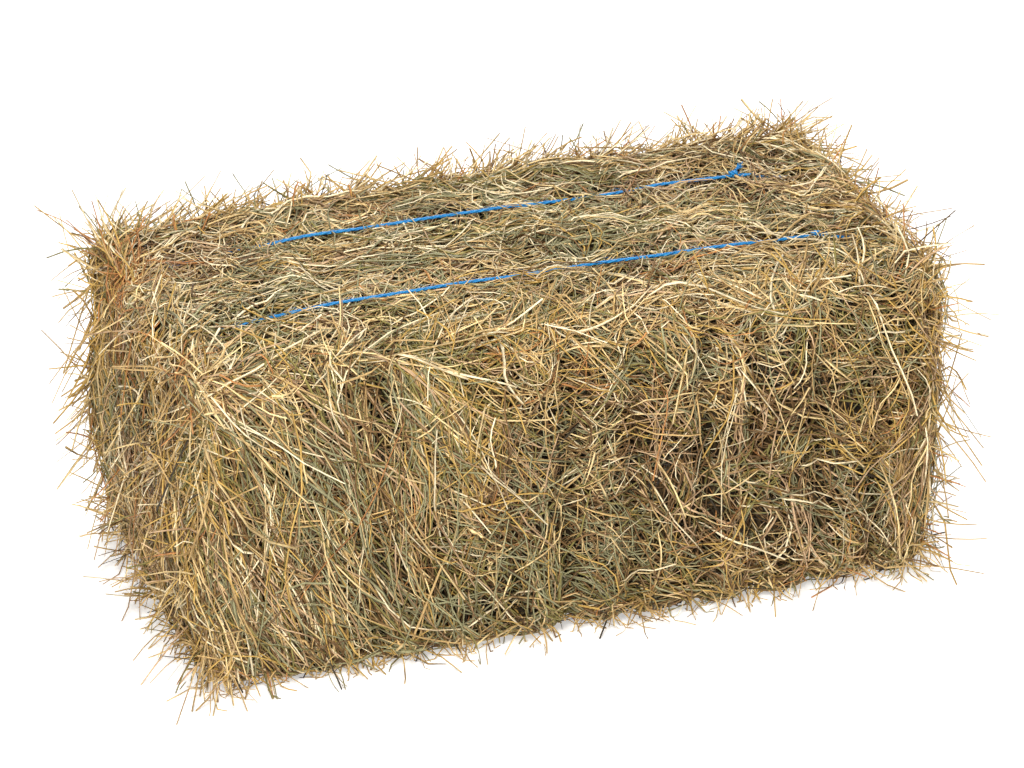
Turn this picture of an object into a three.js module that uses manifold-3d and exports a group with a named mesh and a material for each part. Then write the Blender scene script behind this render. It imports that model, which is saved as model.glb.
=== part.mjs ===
// Small square hay bale: twelve pressed flakes of hay standing side by side along X,
// held by two loops of plastic twine that run the long way round.
// Millimetres, +Z up. Origin: centre of the underside. +X is the long way of the bale.
import * as THREE from 'three';
import { mergeVertices } from 'three/addons/utils/BufferGeometryUtils.js';
import Module from 'manifold-3d';

// ---- driving dimensions -------------------------------------------------
const LENGTH = 914;          // overall, along X
const WIDTH = 457;           // overall, along Y
const HEIGHT = 408;          // overall, along Z, at the crown of the top face
const GAP = 0.3;             // between neighbouring flakes
const CROWN_TOP = 8;         // how much the top face is crowned across Y
const CROWN_LONG = 6;        // how much the top falls away towards both ends
const BULGE_SIDE = 7;        // how much the long faces belly out at mid height
const BULGE_END = 7;         // how much the end faces belly out
const SEAM_DEPTH = 7;        // depth of the furrow between two flakes
const R_TOP = 48;            // rounding of the long top edges
const R_BOTTOM = 30;         // rounding of the long bottom edges
const R_END = 36;            // rounding of the edges round each end face
// thickness of each flake as the plunger packed them, from -X to +X
const THICKNESS = [83, 64, 77, 70, 86, 67, 79, 84, 62, 78, 73, 91];

const TWINE_D = 4.2;         // polypropylene baler twine
const TWINE_Y = [-92, 90];   // the two loops
const TWINE_NAME = ['twine_front', 'twine_rear'];
const TWINE_TOP = 4.0;       // centre line below the hay's top surface
const TWINE_BOTTOM = 5.0;    // centre line above the underside
const TWINE_END = 13;        // centre line inside the end faces
const TWINE_CORNER = 62;     // bend radius where a loop turns round an end
const TWINE_DIP = 11;        // extra sinking of the loop near the top corners
const GROOVE_W = 7.0;        // width of the slot the twine presses into the hay
const KNOT_X = [334, 307];   // where each loop is knotted, on top
const KNOT_R = 4.6;            // half the knot's width

const HAY = [0xb59a63, 0xa98f5c, 0xb8a06d, 0x9f8a5a, 0xb39765, 0xac9463];
const TWINE_BLUE = 0x1f7fd6;

// ---- manifold helpers -----------------------------------------------------
const wasm = await Module();
wasm.setup();

function toManifold(geometry) {
  const g = geometry.clone();
  g.deleteAttribute('normal');
  g.deleteAttribute('uv');
  const m = mergeVertices(g, 1e-4);
  return new wasm.Manifold(new wasm.Mesh({
    numProp: 3,
    vertProperties: new Float32Array(m.attributes.position.array),
    triVerts: new Uint32Array(m.index.array),
  }));
}

function toGeometry(manifold) {
  const mesh = manifold.getMesh();
  const g = new THREE.BufferGeometry();
  g.setAttribute('position', new THREE.BufferAttribute(Float32Array.from(mesh.vertProperties), 3));
  g.setIndex(new THREE.BufferAttribute(Uint32Array.from(mesh.triVerts), 1));
  g.computeVertexNormals();
  return g;
}

// ---- the hay's outer form ---------------------------------------------------
const wave = (a, b) => Math.sin(a * 2.13 + b) * 0.6 + Math.sin(a * 4.71 + b * 1.7) * 0.4;

// The cross-section at a station along the bale: inset all round, slight wander.
function section(x, inset, key) {
  const e = x / (LENGTH / 2);
  return {
    yMin: -WIDTH / 2 + 1.5 + inset + 1.5 * wave(key, 0.3),
    yMax: WIDTH / 2 - 1.5 - inset + 1.5 * wave(key, 2.1),
    zMin: Math.max(0, (inset - 1.6) * 0.9),   // flat where the flake rests
    zMax: HEIGHT - inset - CROWN_LONG * e * e - 1.2 + 1.2 * wave(key, 4.2),
    tilt: 5 * e,              // the far top corner stands higher at +X, lower at -X
  };
}

// Maps a point of the unit square (v, w in -1..1) into the rounded, bellied section.
function place(v, w, s) {
  const hy = (s.yMax - s.yMin) / 2, cy = (s.yMax + s.yMin) / 2;
  const hz = (s.zMax - s.zMin) / 2, cz = (s.zMax + s.zMin) / 2;
  const r = w > 0 ? R_TOP : R_BOTTOM;
  // grid lines are spread so that two segments each way cover a rounded edge
  const gy = Math.abs(v), gz = Math.abs(w);
  const flat = 1 / 3;
  const ay = gy <= flat ? (gy / flat) * (hy - r) : hy - r + ((gy - flat) / (1 - flat)) * r;
  const az = gz <= flat ? (gz / flat) * (hz - r) : hz - r + ((gz - flat) / (1 - flat)) * r;
  let y = ay, z = az;
  const dy = ay - (hy - r), dz = az - (hz - r);
  if (dy > 0 && dz > 0) {
    const m = Math.max(dy, dz), n = Math.hypot(dy, dz);
    y = hy - r + (m * dy) / n;
    z = hz - r + (m * dz) / n;
  }
  y *= Math.sign(v) || 0;
  z *= Math.sign(w) || 0;
  // belly of the long faces, crown of the top face
  const fy = y / hy, fz = z / hz;
  y = cy + y - Math.sign(fy) * BULGE_SIDE * fz * fz * Math.abs(fy);
  if (fz > 0) z -= CROWN_TOP * fy * fy * fz - s.tilt * fy * Math.abs(fy) * fz * 0.8;
  return [y, cz + z];
}

// The face between two flakes is flat but leans a little, as the plunger left it.
function seamX(i, x, y, z) {
  const yy = y / WIDTH, zz = z / HEIGHT - 0.5;
  return x + 7 * wave(i, 1.0) * zz * 2 + 5 * wave(i, 5.0) * yy * 2;
}

const seams = [];
{
  const total = THICKNESS.reduce((a, b) => a + b, 0);
  let x = -LENGTH / 2;
  seams.push(x);
  for (const t of THICKNESS) { x += (t * LENGTH) / total; seams.push(x); }
}
const COUNT = THICKNESS.length;

function flakeGeometry(i) {
  const x0 = seams[i], x1 = seams[i + 1], t = x1 - x0;
  const first = i === 0, last = i === COUNT - 1;
  // stations across the thickness: [position, inset, which seam it leans with]
  const stations = [];
  if (first) {
    stations.push([x0 + 0, R_END, 0], [x0 + 10, 11, 0], [x0 + R_END, 1.5, 0]);
  } else {
    stations.push([x0, SEAM_DEPTH, i], [x0 + 0.2 * t, 1.2, i]);
  }
  stations.push([x0 + 0.5 * t, 0, -1]);
  if (last) {
    stations.push([x1 - R_END, 1.5, COUNT], [x1 - 10, 11, COUNT], [x1, R_END, COUNT]);
  } else {
    stations.push([x1 - 0.2 * t, 1.2, i + 1], [x1, SEAM_DEPTH, i + 1]);
  }
  const nx = stations.length - 1;
  const g = new THREE.BoxGeometry(nx, 2, 2, nx, 6, 6);
  const p = g.attributes.position;
  for (let k = 0; k < p.count; k++) {
    const sIndex = Math.round(p.getX(k) + nx / 2);
    const v = p.getY(k), w = p.getZ(k);
    const [sx, inset, seam] = stations[sIndex];
    const atEnd = (first && sIndex < 3) || (last && sIndex > nx - 3);
    const key = seam < 0 ? i + 0.5 : seam;
    const s = section(sx, inset, key);
    const [y, z] = place(v, w, s);
    let x = sx;
    if (atEnd) {
      const side = first ? -1 : 1;
      const rr = Math.min(1, Math.hypot(v, w) / 1.2);
      if ((first && sIndex === 0) || (last && sIndex === nx)) x -= side * BULGE_END * rr * rr;
    } else if (seam > 0 && seam < COUNT) {
      x = seamX(seam, sx, y, z);
      if (sIndex === 0) x += GAP / 2;
      if (sIndex === nx) x -= GAP / 2;
    }
    p.setXYZ(k, x, y, z);
  }
  return g;
}

// ---- the twine's route -------------------------------------------------------
// Closed loop in the XZ plane, offset inwards by d, listed clockwise from the knot.
function loopPoints(d, n = 5) {
  const hx = LENGTH / 2 - TWINE_END - d;
  const top = HEIGHT - TWINE_TOP - d - 1.5;
  const bottom = TWINE_BOTTOM + d;
  const r = TWINE_CORNER - d;
  const pts = [];
  const topZ = (x) => {
    const e = Math.abs(x) / (LENGTH / 2);
    const dip = Math.max(0, (e - 0.62) / 0.26);
    return top - CROWN_LONG * e * e - TWINE_DIP * Math.min(1, dip * dip);
  };
  const xs = [];
  for (let x = 280; x >= -280; x -= 70) xs.push(x);
  xs.unshift(hx - r);
  xs.splice(1, 0, 350);
  xs.push(-350, -(hx - r));
  for (const x of xs) pts.push([x, topZ(x)]);
  const zt = topZ(hx - r);
  for (let k = 1; k <= n; k++) {                       // top corner at -X
    const a = (Math.PI / 2) * (k / n);
    pts.push([-(hx - r) - r * Math.sin(a), zt - r + r * Math.cos(a)]);
  }
  pts.push([-hx - 1.5, (zt + bottom) / 2]);
  for (let k = 0; k <= n; k++) {                       // bottom corner at -X
    const a = (Math.PI / 2) * (k / n);
    pts.push([-(hx - r) - r * Math.cos(a), bottom + r - r * Math.sin(a)]);
  }
  for (let x = -280; x <= 280; x += 112) pts.push([x, bottom]);
  for (let k = 0; k <= n; k++) {                       // bottom corner at +X
    const a = (Math.PI / 2) * (k / n);
    pts.push([hx - r + r * Math.sin(a), bottom + r - r * Math.cos(a)]);
  }
  pts.push([hx + 1.5, (zt + bottom) / 2]);
  for (let k = 0; k < n; k++) {                        // top corner at +X
    const a = (Math.PI / 2) * (k / n);
    pts.push([hx - r + r * Math.cos(a), zt - r + r * Math.sin(a)]);
  }
  return pts;
}

// The slot that the tight loop presses into the hay, as a cutting tool.
function grooveTool(y) {
  const shape = new THREE.Shape();
  shape.moveTo(-LENGTH, -200);
  shape.lineTo(LENGTH, -200);
  shape.lineTo(LENGTH, HEIGHT + 200);
  shape.lineTo(-LENGTH, HEIGHT + 200);
  shape.closePath();
  const hole = new THREE.Path();
  loopPoints(TWINE_D / 2 + 0.8).forEach(([x, z], k) => (k ? hole.lineTo(x, z) : hole.moveTo(x, z)));
  hole.closePath();
  shape.holes.push(hole);
  const g = new THREE.ExtrudeGeometry(shape, { depth: GROOVE_W, bevelEnabled: false });
  g.rotateX(Math.PI / 2);                              // shape's Y becomes Z, depth runs along -Y
  g.translate(0, y + GROOVE_W / 2, 0);
  return toManifold(g);
}

function roundSection(r, sides = 8) {
  const s = new THREE.Shape();
  for (let k = 0; k < sides; k++) {
    const a = (2 * Math.PI * k) / sides + Math.PI / sides;
    if (k) s.lineTo(r * Math.cos(a), r * Math.sin(a)); else s.moveTo(r * Math.cos(a), r * Math.sin(a));
  }
  s.closePath();
  return s;
}

// A path that is swept station by station through the points given, so that the
// twine and the slot it lies in bend at the same places.
class StationPath extends THREE.Curve {
  constructor(points) { super(); this.points = points; }
  getPoint(t, target = new THREE.Vector3()) {
    const n = this.points.length - 1, f = Math.min(n - 1e-9, Math.max(0, t * n)), k = Math.floor(f);
    return target.copy(this.points[k]).lerp(this.points[k + 1], f - k);
  }
  getPointAt(u, target) { return this.getPoint(u, target); }
  getTangent(t, target = new THREE.Vector3()) {
    const n = this.points.length - 1, k = Math.round(t * n);
    const a = this.points[Math.max(0, k - 1)], b = this.points[k], c = this.points[Math.min(n, k + 1)];
    const out = target.set(0, 0, 0);
    if (b !== a) out.add(b.clone().sub(a).normalize());
    if (c !== b) out.add(c.clone().sub(b).normalize());
    return out.normalize();
  }
  getTangentAt(u, target) { return this.getTangent(u, target); }
}

function tube(points, r, sides = 8) {
  return new THREE.ExtrudeGeometry(roundSection(r, sides), {
    steps: points.length - 1, extrudePath: new StationPath(points), bevelEnabled: false,
  });
}

// One length of twine: out of the knot, round the bale, back into the knot, two short tails.
function twineManifold(index) {
  const kx = KNOT_X[index];
  const loop = loopPoints(0);
  const start = loop.findIndex(([x, z]) => x < kx && z > HEIGHT / 2);
  const ordered = [...loop.slice(start), ...loop.slice(0, start)];
  const kz = (loop[start][1] + loop[(start + loop.length - 1) % loop.length][1]) / 2 + 0.8;
  const pts = [
    new THREE.Vector3(kx - 3, -0.4, kz),
    new THREE.Vector3(kx - 14, 0, kz - 0.6),
    ...ordered.filter(([x, z]) => !(z > HEIGHT / 2 && Math.abs(x - kx) < 22)).map(([x, z]) => new THREE.Vector3(x, 0, z)),
    new THREE.Vector3(kx + 14, 0, kz - 0.6),
    new THREE.Vector3(kx + 3, 0.4, kz),
  ];
  let m = toManifold(tube(pts, TWINE_D / 2));
  // the knot, drawn up tight into one lump
  const lump = new THREE.SphereGeometry(KNOT_R, 10, 6);
  lump.scale(1.8, 1.0, 0.9);
  lump.translate(kx, 0, kz + 0.4);
  m = m.add(toManifold(lump));
  const tails = index === 1
    ? [[[0, 1.5, 1], [5, 5, 3.2], [13, 10, 6.5]], [[0, -1, 1.2], [1, 4, 3], [3, 11, 4.5]]]
    : [[[0, 1.2, 1], [6, 2.6, 1.2], [14, 2.6, 0.2]], [[0, -1.2, 1], [7, -2.6, 1], [17, -2.4, -0.6]]];
  for (const t of tails) {
    const tp = t.map(([x, y, z]) => new THREE.Vector3(kx + x, y, kz + z));
    m = m.add(toManifold(tube(tp, 1.5, 6)));
  }
  // the lump is drawn up solid: keep the outer surface, drop any pocket sealed inside it
  const outer = m.decompose().reduce((a, b) => (b.volume() > a.volume() ? b : a));
  return outer.translate([0, TWINE_Y[index], 0]);
}

// ---- assembly ---------------------------------------------------------------
const bale = new THREE.Group();
const grooves = TWINE_Y.map(grooveTool);
const twines = TWINE_Y.map((_, k) => twineManifold(k));

// room round the knots and tails, so that the hay stays clear of them
function knotPocket(index) {
  const g = new THREE.BoxGeometry(index === 1 ? 66 : 44, index === 1 ? 32 : 16, 40);
  g.translate(KNOT_X[index] + 3, TWINE_Y[index] + (index === 1 ? 4 : 0), HEIGHT - 11 + 20 - CROWN_LONG);
  return toManifold(g);
}
const pockets = [knotPocket(0), knotPocket(1)];

const flakes = new THREE.Group();
for (let i = 0; i < COUNT; i++) {
  let m = toManifold(flakeGeometry(i));
  for (const c of [...grooves, ...pockets]) m = m.subtract(c);
  const mesh = new THREE.Mesh(toGeometry(m), new THREE.MeshStandardMaterial({
    color: HAY[i % HAY.length], roughness: 0.88, metalness: 0,
  }));
  mesh.name = `flake_${String(i + 1).padStart(2, '0')}`;
  flakes.add(mesh);
}
bale.add(flakes);

twines.forEach((m, k) => {
  const mesh = new THREE.Mesh(toGeometry(m), new THREE.MeshStandardMaterial({
    color: TWINE_BLUE, roughness: 0.5, metalness: 0,
  }));
  mesh.name = TWINE_NAME[k];
  bale.add(mesh);
});

export default bale;
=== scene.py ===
import math

import bpy
import numpy as np
from mathutils import Matrix, Vector


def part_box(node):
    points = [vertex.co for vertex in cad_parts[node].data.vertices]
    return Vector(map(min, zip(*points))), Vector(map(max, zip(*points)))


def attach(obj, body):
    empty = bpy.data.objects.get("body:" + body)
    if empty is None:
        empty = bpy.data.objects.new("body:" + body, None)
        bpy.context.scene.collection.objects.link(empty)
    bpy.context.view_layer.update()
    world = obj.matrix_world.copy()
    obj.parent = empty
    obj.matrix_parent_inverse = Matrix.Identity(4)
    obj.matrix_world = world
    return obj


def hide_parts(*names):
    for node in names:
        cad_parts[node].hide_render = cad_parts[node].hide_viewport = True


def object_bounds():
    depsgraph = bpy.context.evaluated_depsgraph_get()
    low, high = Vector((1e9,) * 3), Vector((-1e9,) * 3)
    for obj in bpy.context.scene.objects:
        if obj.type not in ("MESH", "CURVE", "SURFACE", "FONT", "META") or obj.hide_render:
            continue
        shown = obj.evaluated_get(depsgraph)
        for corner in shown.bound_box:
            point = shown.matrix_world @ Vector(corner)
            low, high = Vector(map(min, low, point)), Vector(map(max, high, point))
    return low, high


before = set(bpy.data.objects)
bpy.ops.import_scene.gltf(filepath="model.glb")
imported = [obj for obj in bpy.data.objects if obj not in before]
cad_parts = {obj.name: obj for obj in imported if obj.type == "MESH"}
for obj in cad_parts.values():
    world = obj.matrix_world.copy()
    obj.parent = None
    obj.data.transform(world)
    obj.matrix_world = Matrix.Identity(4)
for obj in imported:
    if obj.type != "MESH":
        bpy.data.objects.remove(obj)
cad_lo, cad_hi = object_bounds()

# ------------------------------------------------------------------ sizes, metres
LENGTH = cad_hi.x - cad_lo.x
WIDTH = cad_hi.y - cad_lo.y
HEIGHT = cad_hi.z - cad_lo.z
FLAKES = sorted(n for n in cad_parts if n.startswith("flake_"))
COUNT = len(FLAKES)
boxes = [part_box(n) for n in FLAKES]
SEAMS = np.array([(boxes[i][1].x + boxes[i + 1][0].x) / 2 for i in range(COUNT - 1)])
EDGES = np.concatenate([[-LENGTH / 2], SEAMS, [LENGTH / 2]])
TWINES = {"twine_front": -0.092, "twine_rear": 0.090}
FURROWS = np.array([0.6, 0.55, 1.15, 0.7, 0.6, 1.25, 1.1, 1.15, 0.85, 1.0, 1.2])   # how deep each seam shows

SKIN = 0.0035                 # the lie surface of the main layer is this far under the CAD skin
HX, HY, HZ = LENGTH / 2 - SKIN, WIDTH / 2 - SKIN, HEIGHT / 2 - SKIN * 0.6
HC = HEIGHT / 2 + SKIN * 0.2
HALF = np.array([HX, HY, HZ])
MID = np.array([0.0, 0.0, HC])
ROUND = 0.043                 # rounding of the edges
CROWN_TOP, CROWN_LONG, BULGE_SIDE, BULGE_END = 0.008, 0.006, 0.007, 0.007

# how far past the CAD box a tip may stand (the rule allows 3% of a side plus 10 mm)
OVER = np.array([0.03 * LENGTH + 0.0085, 0.03 * WIDTH + 0.0085, 0.03 * HEIGHT + 0.0085])
rng = np.random.default_rng(20240611)


# ------------------------------------------------------------------ noise
def hashed(ix, iy, iz, seed):
    with np.errstate(over="ignore"):
        h = (ix.astype(np.int64).astype(np.uint32) * np.uint32(0x8DA6B343)
             + iy.astype(np.int64).astype(np.uint32) * np.uint32(0xD8163841)
             + iz.astype(np.int64).astype(np.uint32) * np.uint32(0xCB1AB31F)
             + np.uint32((seed * 0x165667B1) & 0xFFFFFFFF))
        h ^= h >> np.uint32(13)
        h *= np.uint32(0x5BD1E995)
        h ^= h >> np.uint32(15)
        h *= np.uint32(0x27D4EB2D)
        h ^= h >> np.uint32(14)
    return h.astype(np.float64) / 4294967295.0


def noise(p, size, seed):
    """Smooth value noise, -1 to 1, with features of this size."""
    q = p / size + 1000.0
    i = np.floor(q)
    f = q - i
    f = f * f * (3 - 2 * f)
    i = i.astype(np.int64)
    out = 0.0
    for dx in (0, 1):
        for dy in (0, 1):
            for dz in (0, 1):
                w = ((f[..., 0] if dx else 1 - f[..., 0]) * (f[..., 1] if dy else 1 - f[..., 1])
                     * (f[..., 2] if dz else 1 - f[..., 2]))
                out = out + w * hashed(i[..., 0] + dx, i[..., 1] + dy, i[..., 2] + dz, seed)
    return out * 2 - 1


def tuft(p, size, seed):
    """The nearest jittered cell: (distance to its centre, a number 0..1 of its own, a second one)."""
    q = p / size + 1000.0
    i = np.floor(q).astype(np.int64)
    best = np.full(len(p), 1e9)
    a = np.zeros(len(p))
    b = np.zeros(len(p))
    for dx in (-1, 0, 1):
        for dy in (-1, 0, 1):
            for dz in (-1, 0, 1):
                c = i + (dx, dy, dz)
                at = np.stack([c[:, k] + hashed(c[:, 0], c[:, 1], c[:, 2], seed + 7 * k) for k in range(3)], 1)
                d = ((q - at) ** 2).sum(1)
                near = d < best
                best = np.where(near, d, best)
                a = np.where(near, hashed(c[:, 0], c[:, 1], c[:, 2], seed + 31), a)
                b = np.where(near, hashed(c[:, 0], c[:, 1], c[:, 2], seed + 57), b)
    return np.sqrt(best) * size, a, b


def unit(v):
    return v / np.maximum(np.linalg.norm(v, axis=-1, keepdims=True), 1e-12)


def smooth(x, a, b):
    t = np.clip((x - a) / (b - a), 0, 1)
    return t * t * (3 - 2 * t)


# ------------------------------------------------------------------ the bale's form
def skin(p):
    """The point on the plain rounded block nearest to p, and the outward direction there."""
    q = p - MID
    core = np.clip(q, -(HALF - ROUND), HALF - ROUND)
    d = q - core
    length = np.linalg.norm(d, axis=-1, keepdims=True)
    inside = length[..., 0] < 1e-6
    if inside.any():
        gap = HALF - np.abs(q)
        axis = gap.argmin(-1)
        push = np.zeros_like(q)
        np.put_along_axis(push, axis[..., None], np.take_along_axis(np.sign(q) + (q == 0), axis[..., None], -1), -1)
        d = np.where(inside[..., None], push, d)
        core = np.where(inside[..., None], np.where(push != 0, np.sign(q) * (HALF - ROUND), q), core)
        length = np.linalg.norm(d, axis=-1, keepdims=True)
    n = d / np.maximum(length, 1e-12)
    return MID + core + n * ROUND, n


def furrow(p, n):
    """How far the surface is drawn in between two flakes, at p."""
    wob = 0.007 * noise(p, 0.09, 3) + 0.004 * noise(p, 0.035, 4)
    gap = np.abs((p[..., 0] + wob)[..., None] - SEAMS)
    d, k = gap.min(-1), gap.argmin(-1)
    strength = FURROWS[k]
    side = 1 - 0.5 * np.clip(n[..., 2], 0, 1)
    return side * strength * (0.8 + 0.4 * noise(p, 0.12, 5)) * (0.015 * np.exp(-(d / 0.0078) ** 2) + 0.004 * np.exp(-(d / 0.02) ** 2))


def twine_shows(x, y):
    """1 where the twine at y lies in the open on top, 0 where the hay has closed over it."""
    near = smooth(x, -0.340, -0.235) * (1 - 0.4 * smooth(x, 0.24, 0.27)) * (1 - smooth(x, 0.342, 0.368))
    far = smooth(x, -0.295, -0.200) * (1 - 0.45 * smooth(x, 0.02, 0.05) * (1 - smooth(x, 0.18, 0.215))) * (1 - smooth(x, 0.325, 0.350))
    return np.where(np.asarray(y) > 0, far, near)


def groove(p, n):
    """How far the tight twines press the hay in, at p."""
    out = 0.0
    for y in TWINES.values():
        d = np.abs(p[..., 1] - y)
        flat = np.clip(n[..., 2], 0, 1) ** 2 * twine_shows(p[..., 0], y)
        out = out + flat * (0.0068 * np.exp(-(d / 0.0062) ** 2) - 0.0012 * np.exp(-((d - 0.018) / 0.009) ** 2))
    return out


def drawn_in(x, z):
    """The ends are drawn in low down, the left one near the top too."""
    left = smooth(-x, 0.33, 0.455) * (0.015 * (1 - smooth(z, 0.02, 0.17)) + 0.010 * np.exp(-((z - 0.32) / 0.055) ** 2))
    right = smooth(x, 0.33, 0.455) * 0.013 * (1 - smooth(z, 0.0, 0.12))
    return left - right


def lumps(p):
    return 0.0045 * noise(p, 0.075, 11) + 0.003 * noise(p, 0.033, 12) + 0.0016 * noise(p, 0.017, 13)


def form(p, n, height, press=1.0):
    """Moves a point of the plain block, with its outward direction, out by height and onto the bale's true form."""
    up = np.clip(n[..., 2], 0, 1)
    out = height + lumps(p) - furrow(p, n) - press * groove(p, n)
    out = out + 0.0075 * up * smooth(p[..., 1], 0.11, 0.20) * (0.8 + 0.5 * noise(p, 0.06, 14))
    low = n[..., 2] < -0.5
    out = np.where(low, np.minimum(out, 0.0005), out)
    q = p + n * out[..., None]
    fx, fy, fz = q[..., 0] / HX, q[..., 1] / HY, (q[..., 2] - HC) / HZ
    up = np.clip(fz, 0, 1.2)
    z = q[..., 2] - (CROWN_TOP * fy * fy + CROWN_LONG * fx * fx) * up + 0.004 * fx * fy * np.abs(fy) * up
    y = q[..., 1] - np.sign(fy) * BULGE_SIDE * np.where(fz < 0, 0.1, 1.0) * fz * fz * np.abs(fy)
    rr = np.clip(fy * fy + fz * fz, 0, 1.6) / 1.6
    x = q[..., 0] - np.sign(fx) * BULGE_END * rr * np.abs(fx) ** 6
    return np.stack([x + drawn_in(q[..., 0], q[..., 2]), y, z], -1)


# ------------------------------------------------------------------ the map of colours
# Stems read the lower half of a square map: U runs along the stem, and each of ROWS rows is one kind of stem.
# The pressed mat under them reads the upper half.
ROWS = 64
KINDS = {                      # first row, last row (exclusive)
    "cream": (0, 8), "straw": (8, 20), "tan": (20, 31), "gold": (31, 37), "pink": (37, 41), "rust": (41, 44),
    "sage": (44, 51), "olive": (51, 56), "brown": (56, 60), "dark": (60, 64),
}
KIND_NAMES = list(KINDS)
KIND_LO = np.array([KINDS[k][0] for k in KIND_NAMES])
KIND_HI = np.array([KINDS[k][1] for k in KIND_NAMES])
STEM_TOP = 0.5                 # V where the stems' half ends


class Bin:
    """Collects the mesh of one piece."""

    def __init__(self):
        self.v, self.f, self.uv, self.mat = [], [], [], []
        self.count = 0

    def add(self, verts, faces, uvs, mat):
        self.v.append(np.asarray(verts, np.float32))
        self.f.append(np.asarray(faces, np.int64) + self.count)
        self.uv.append(np.asarray(uvs, np.float32))
        self.mat.append(np.full(len(faces), mat, np.int32))
        self.count += len(verts)

    def build(self, name, materials, flat_slots=()):
        v, f = np.concatenate(self.v), np.concatenate(self.f)
        uv, mat = np.concatenate(self.uv), np.concatenate(self.mat)
        me = bpy.data.meshes.new(name)
        me.vertices.add(len(v))
        me.vertices.foreach_set("co", v.ravel())
        me.loops.add(len(f) * 3)
        me.loops.foreach_set("vertex_index", f.ravel().astype(np.int32))
        me.polygons.add(len(f))
        me.polygons.foreach_set("loop_start", np.arange(0, len(f) * 3, 3, dtype=np.int32))
        me.polygons.foreach_set("material_index", mat)
        me.polygons.foreach_set("use_smooth", np.ones(len(f), bool))
        layer = me.uv_layers.new(name="OFBake", do_init=False)
        layer.uv.foreach_set("vector", uv.reshape(-1).astype(np.float32))
        me.update(calc_edges=True)
        me.validate(clean_customdata=False)
        for m in materials:
            me.materials.append(m)
        o = bpy.data.objects.new(name, me)
        bpy.context.scene.collection.objects.link(o)
        return o


def tubes(C, side, up, r_side, r_up, rows, u0, u1, sides=3, spin=None):
    """Closed tapered tubes through the points C (stems, points, 3); the first and last point are their tips.
    Returns verts, faces and uvs per corner."""
    n, m, _ = C.shape
    rings = m - 2
    ang = np.arange(sides) * 2 * np.pi / sides
    if spin is None:
        spin = np.zeros((n, rings))
    a = ang[None, None, :] + spin[:, :, None]
    ca, sa = np.cos(a)[..., None], np.sin(a)[..., None]
    S, U = side[:, 1:-1, None, :], up[:, 1:-1, None, :]
    R = C[:, 1:-1, None, :] + S * ca * r_side[:, 1:-1, None, None] + U * sa * r_up[:, 1:-1, None, None]
    per = rings * sides + 2
    V = np.empty((n, per, 3))
    V[:, 0] = C[:, 0]
    V[:, 1:-1] = R.reshape(n, rings * sides, 3)
    V[:, -1] = C[:, -1]
    faces, fu, fv = [], [], []
    s = np.linspace(0, 1, m)
    vv = 0.12 + 0.76 * (1 - np.abs(np.linspace(-1, 1, sides + 1)))  # up to the row's far edge and back
    if sides == 3:
        vv = np.array([0.12, 0.5, 0.88, 0.12])
    for k in range(sides):
        k2 = (k + 1) % sides
        faces.append([0, 1 + k2, 1 + k])
        fu.append([s[0], s[1], s[1]])
        fv.append([(vv[k] + vv[k + 1]) / 2, vv[k + 1], vv[k]])
        for j in range(rings - 1):
            a0, b0 = 1 + j * sides + k, 1 + j * sides + k2
            a1, b1 = a0 + sides, b0 + sides
            faces.append([a0, b0, b1]); fu.append([s[j + 1], s[j + 1], s[j + 2]]); fv.append([vv[k], vv[k + 1], vv[k + 1]])
            faces.append([a0, b1, a1]); fu.append([s[j + 1], s[j + 2], s[j + 2]]); fv.append([vv[k], vv[k + 1], vv[k]])
        l = 1 + (rings - 1) * sides
        faces.append([per - 1, l + k, l + k2])
        fu.append([s[-1], s[-2], s[-2]])
        fv.append([(vv[k] + vv[k + 1]) / 2, vv[k], vv[k + 1]])
    faces, fu, fv = np.array(faces), np.array(fu), np.array(fv)
    F = faces[None] + (np.arange(n) * per)[:, None, None]
    uu = u0[:, None, None] + (u1 - u0)[:, None, None] * fu[None]
    row = rows[:, None, None] + fv[None]
    uv = np.stack([uu, row / ROWS * STEM_TOP], -1)
    return V, F, uv


# ------------------------------------------------------------------ the flow of the hay
# how far the stems of each flake lean from upright on the near long face, degrees, at the top, middle and bottom
LEAN = np.radians([[12, 12, 14], [24, 21, 24], [32, 24, 36], [16, 14, 34], [26, 22, 34], [34, 12, 46], [62, 58, 60],
                   [34, 26, 52], [42, 18, 30], [26, 32, 46], [32, 36, 54], [22, 12, 4]])
LEAN_BACK = np.radians([-12, 8, -18, 4, 16, -26, 10, 30, -8, 22, -14, 6])


def flake_of(x):
    return np.clip(np.searchsorted(SEAMS, x), 0, COUNT - 1)


def lean_front(x, z):
    mid = (EDGES[1:] + EDGES[:-1]) / 2
    t = np.clip((x[:, None] - mid) / 0.05, -1, 1)
    w = (1 - np.abs(t)) + 1e-6
    w /= w.sum(1, keepdims=True)
    top, middle, low = (w @ LEAN).T
    f = np.clip(z / HEIGHT, 0, 1)
    return np.where(f > 0.5, middle + (top - middle) * (f - 0.5) / 0.35, low + (middle - low) * f / 0.5)


def combed(p, n):
    """How orderly the hay lies at p: 0 is a tangle, 1 is combed."""
    front = smooth(-n[:, 1], 0.3, 0.9)
    back = smooth(n[:, 1], 0.3, 0.9)
    top = smooth(n[:, 2], 0.4, 0.9)
    end = smooth(np.abs(n[:, 0]), 0.4, 0.9)
    left = smooth(-p[:, 0], 0.02, 0.22)
    low = smooth(-p[:, 2], -0.40, -0.33)
    f = 0.50 + 0.42 * left * low + 0.08 * smooth(p[:, 0], 0.2, 0.4)
    return np.clip(front * f + back * 0.6 + top * 0.45 + end * 0.32 + 0.15 * noise(p, 0.08, 27), 0, 1)


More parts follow.
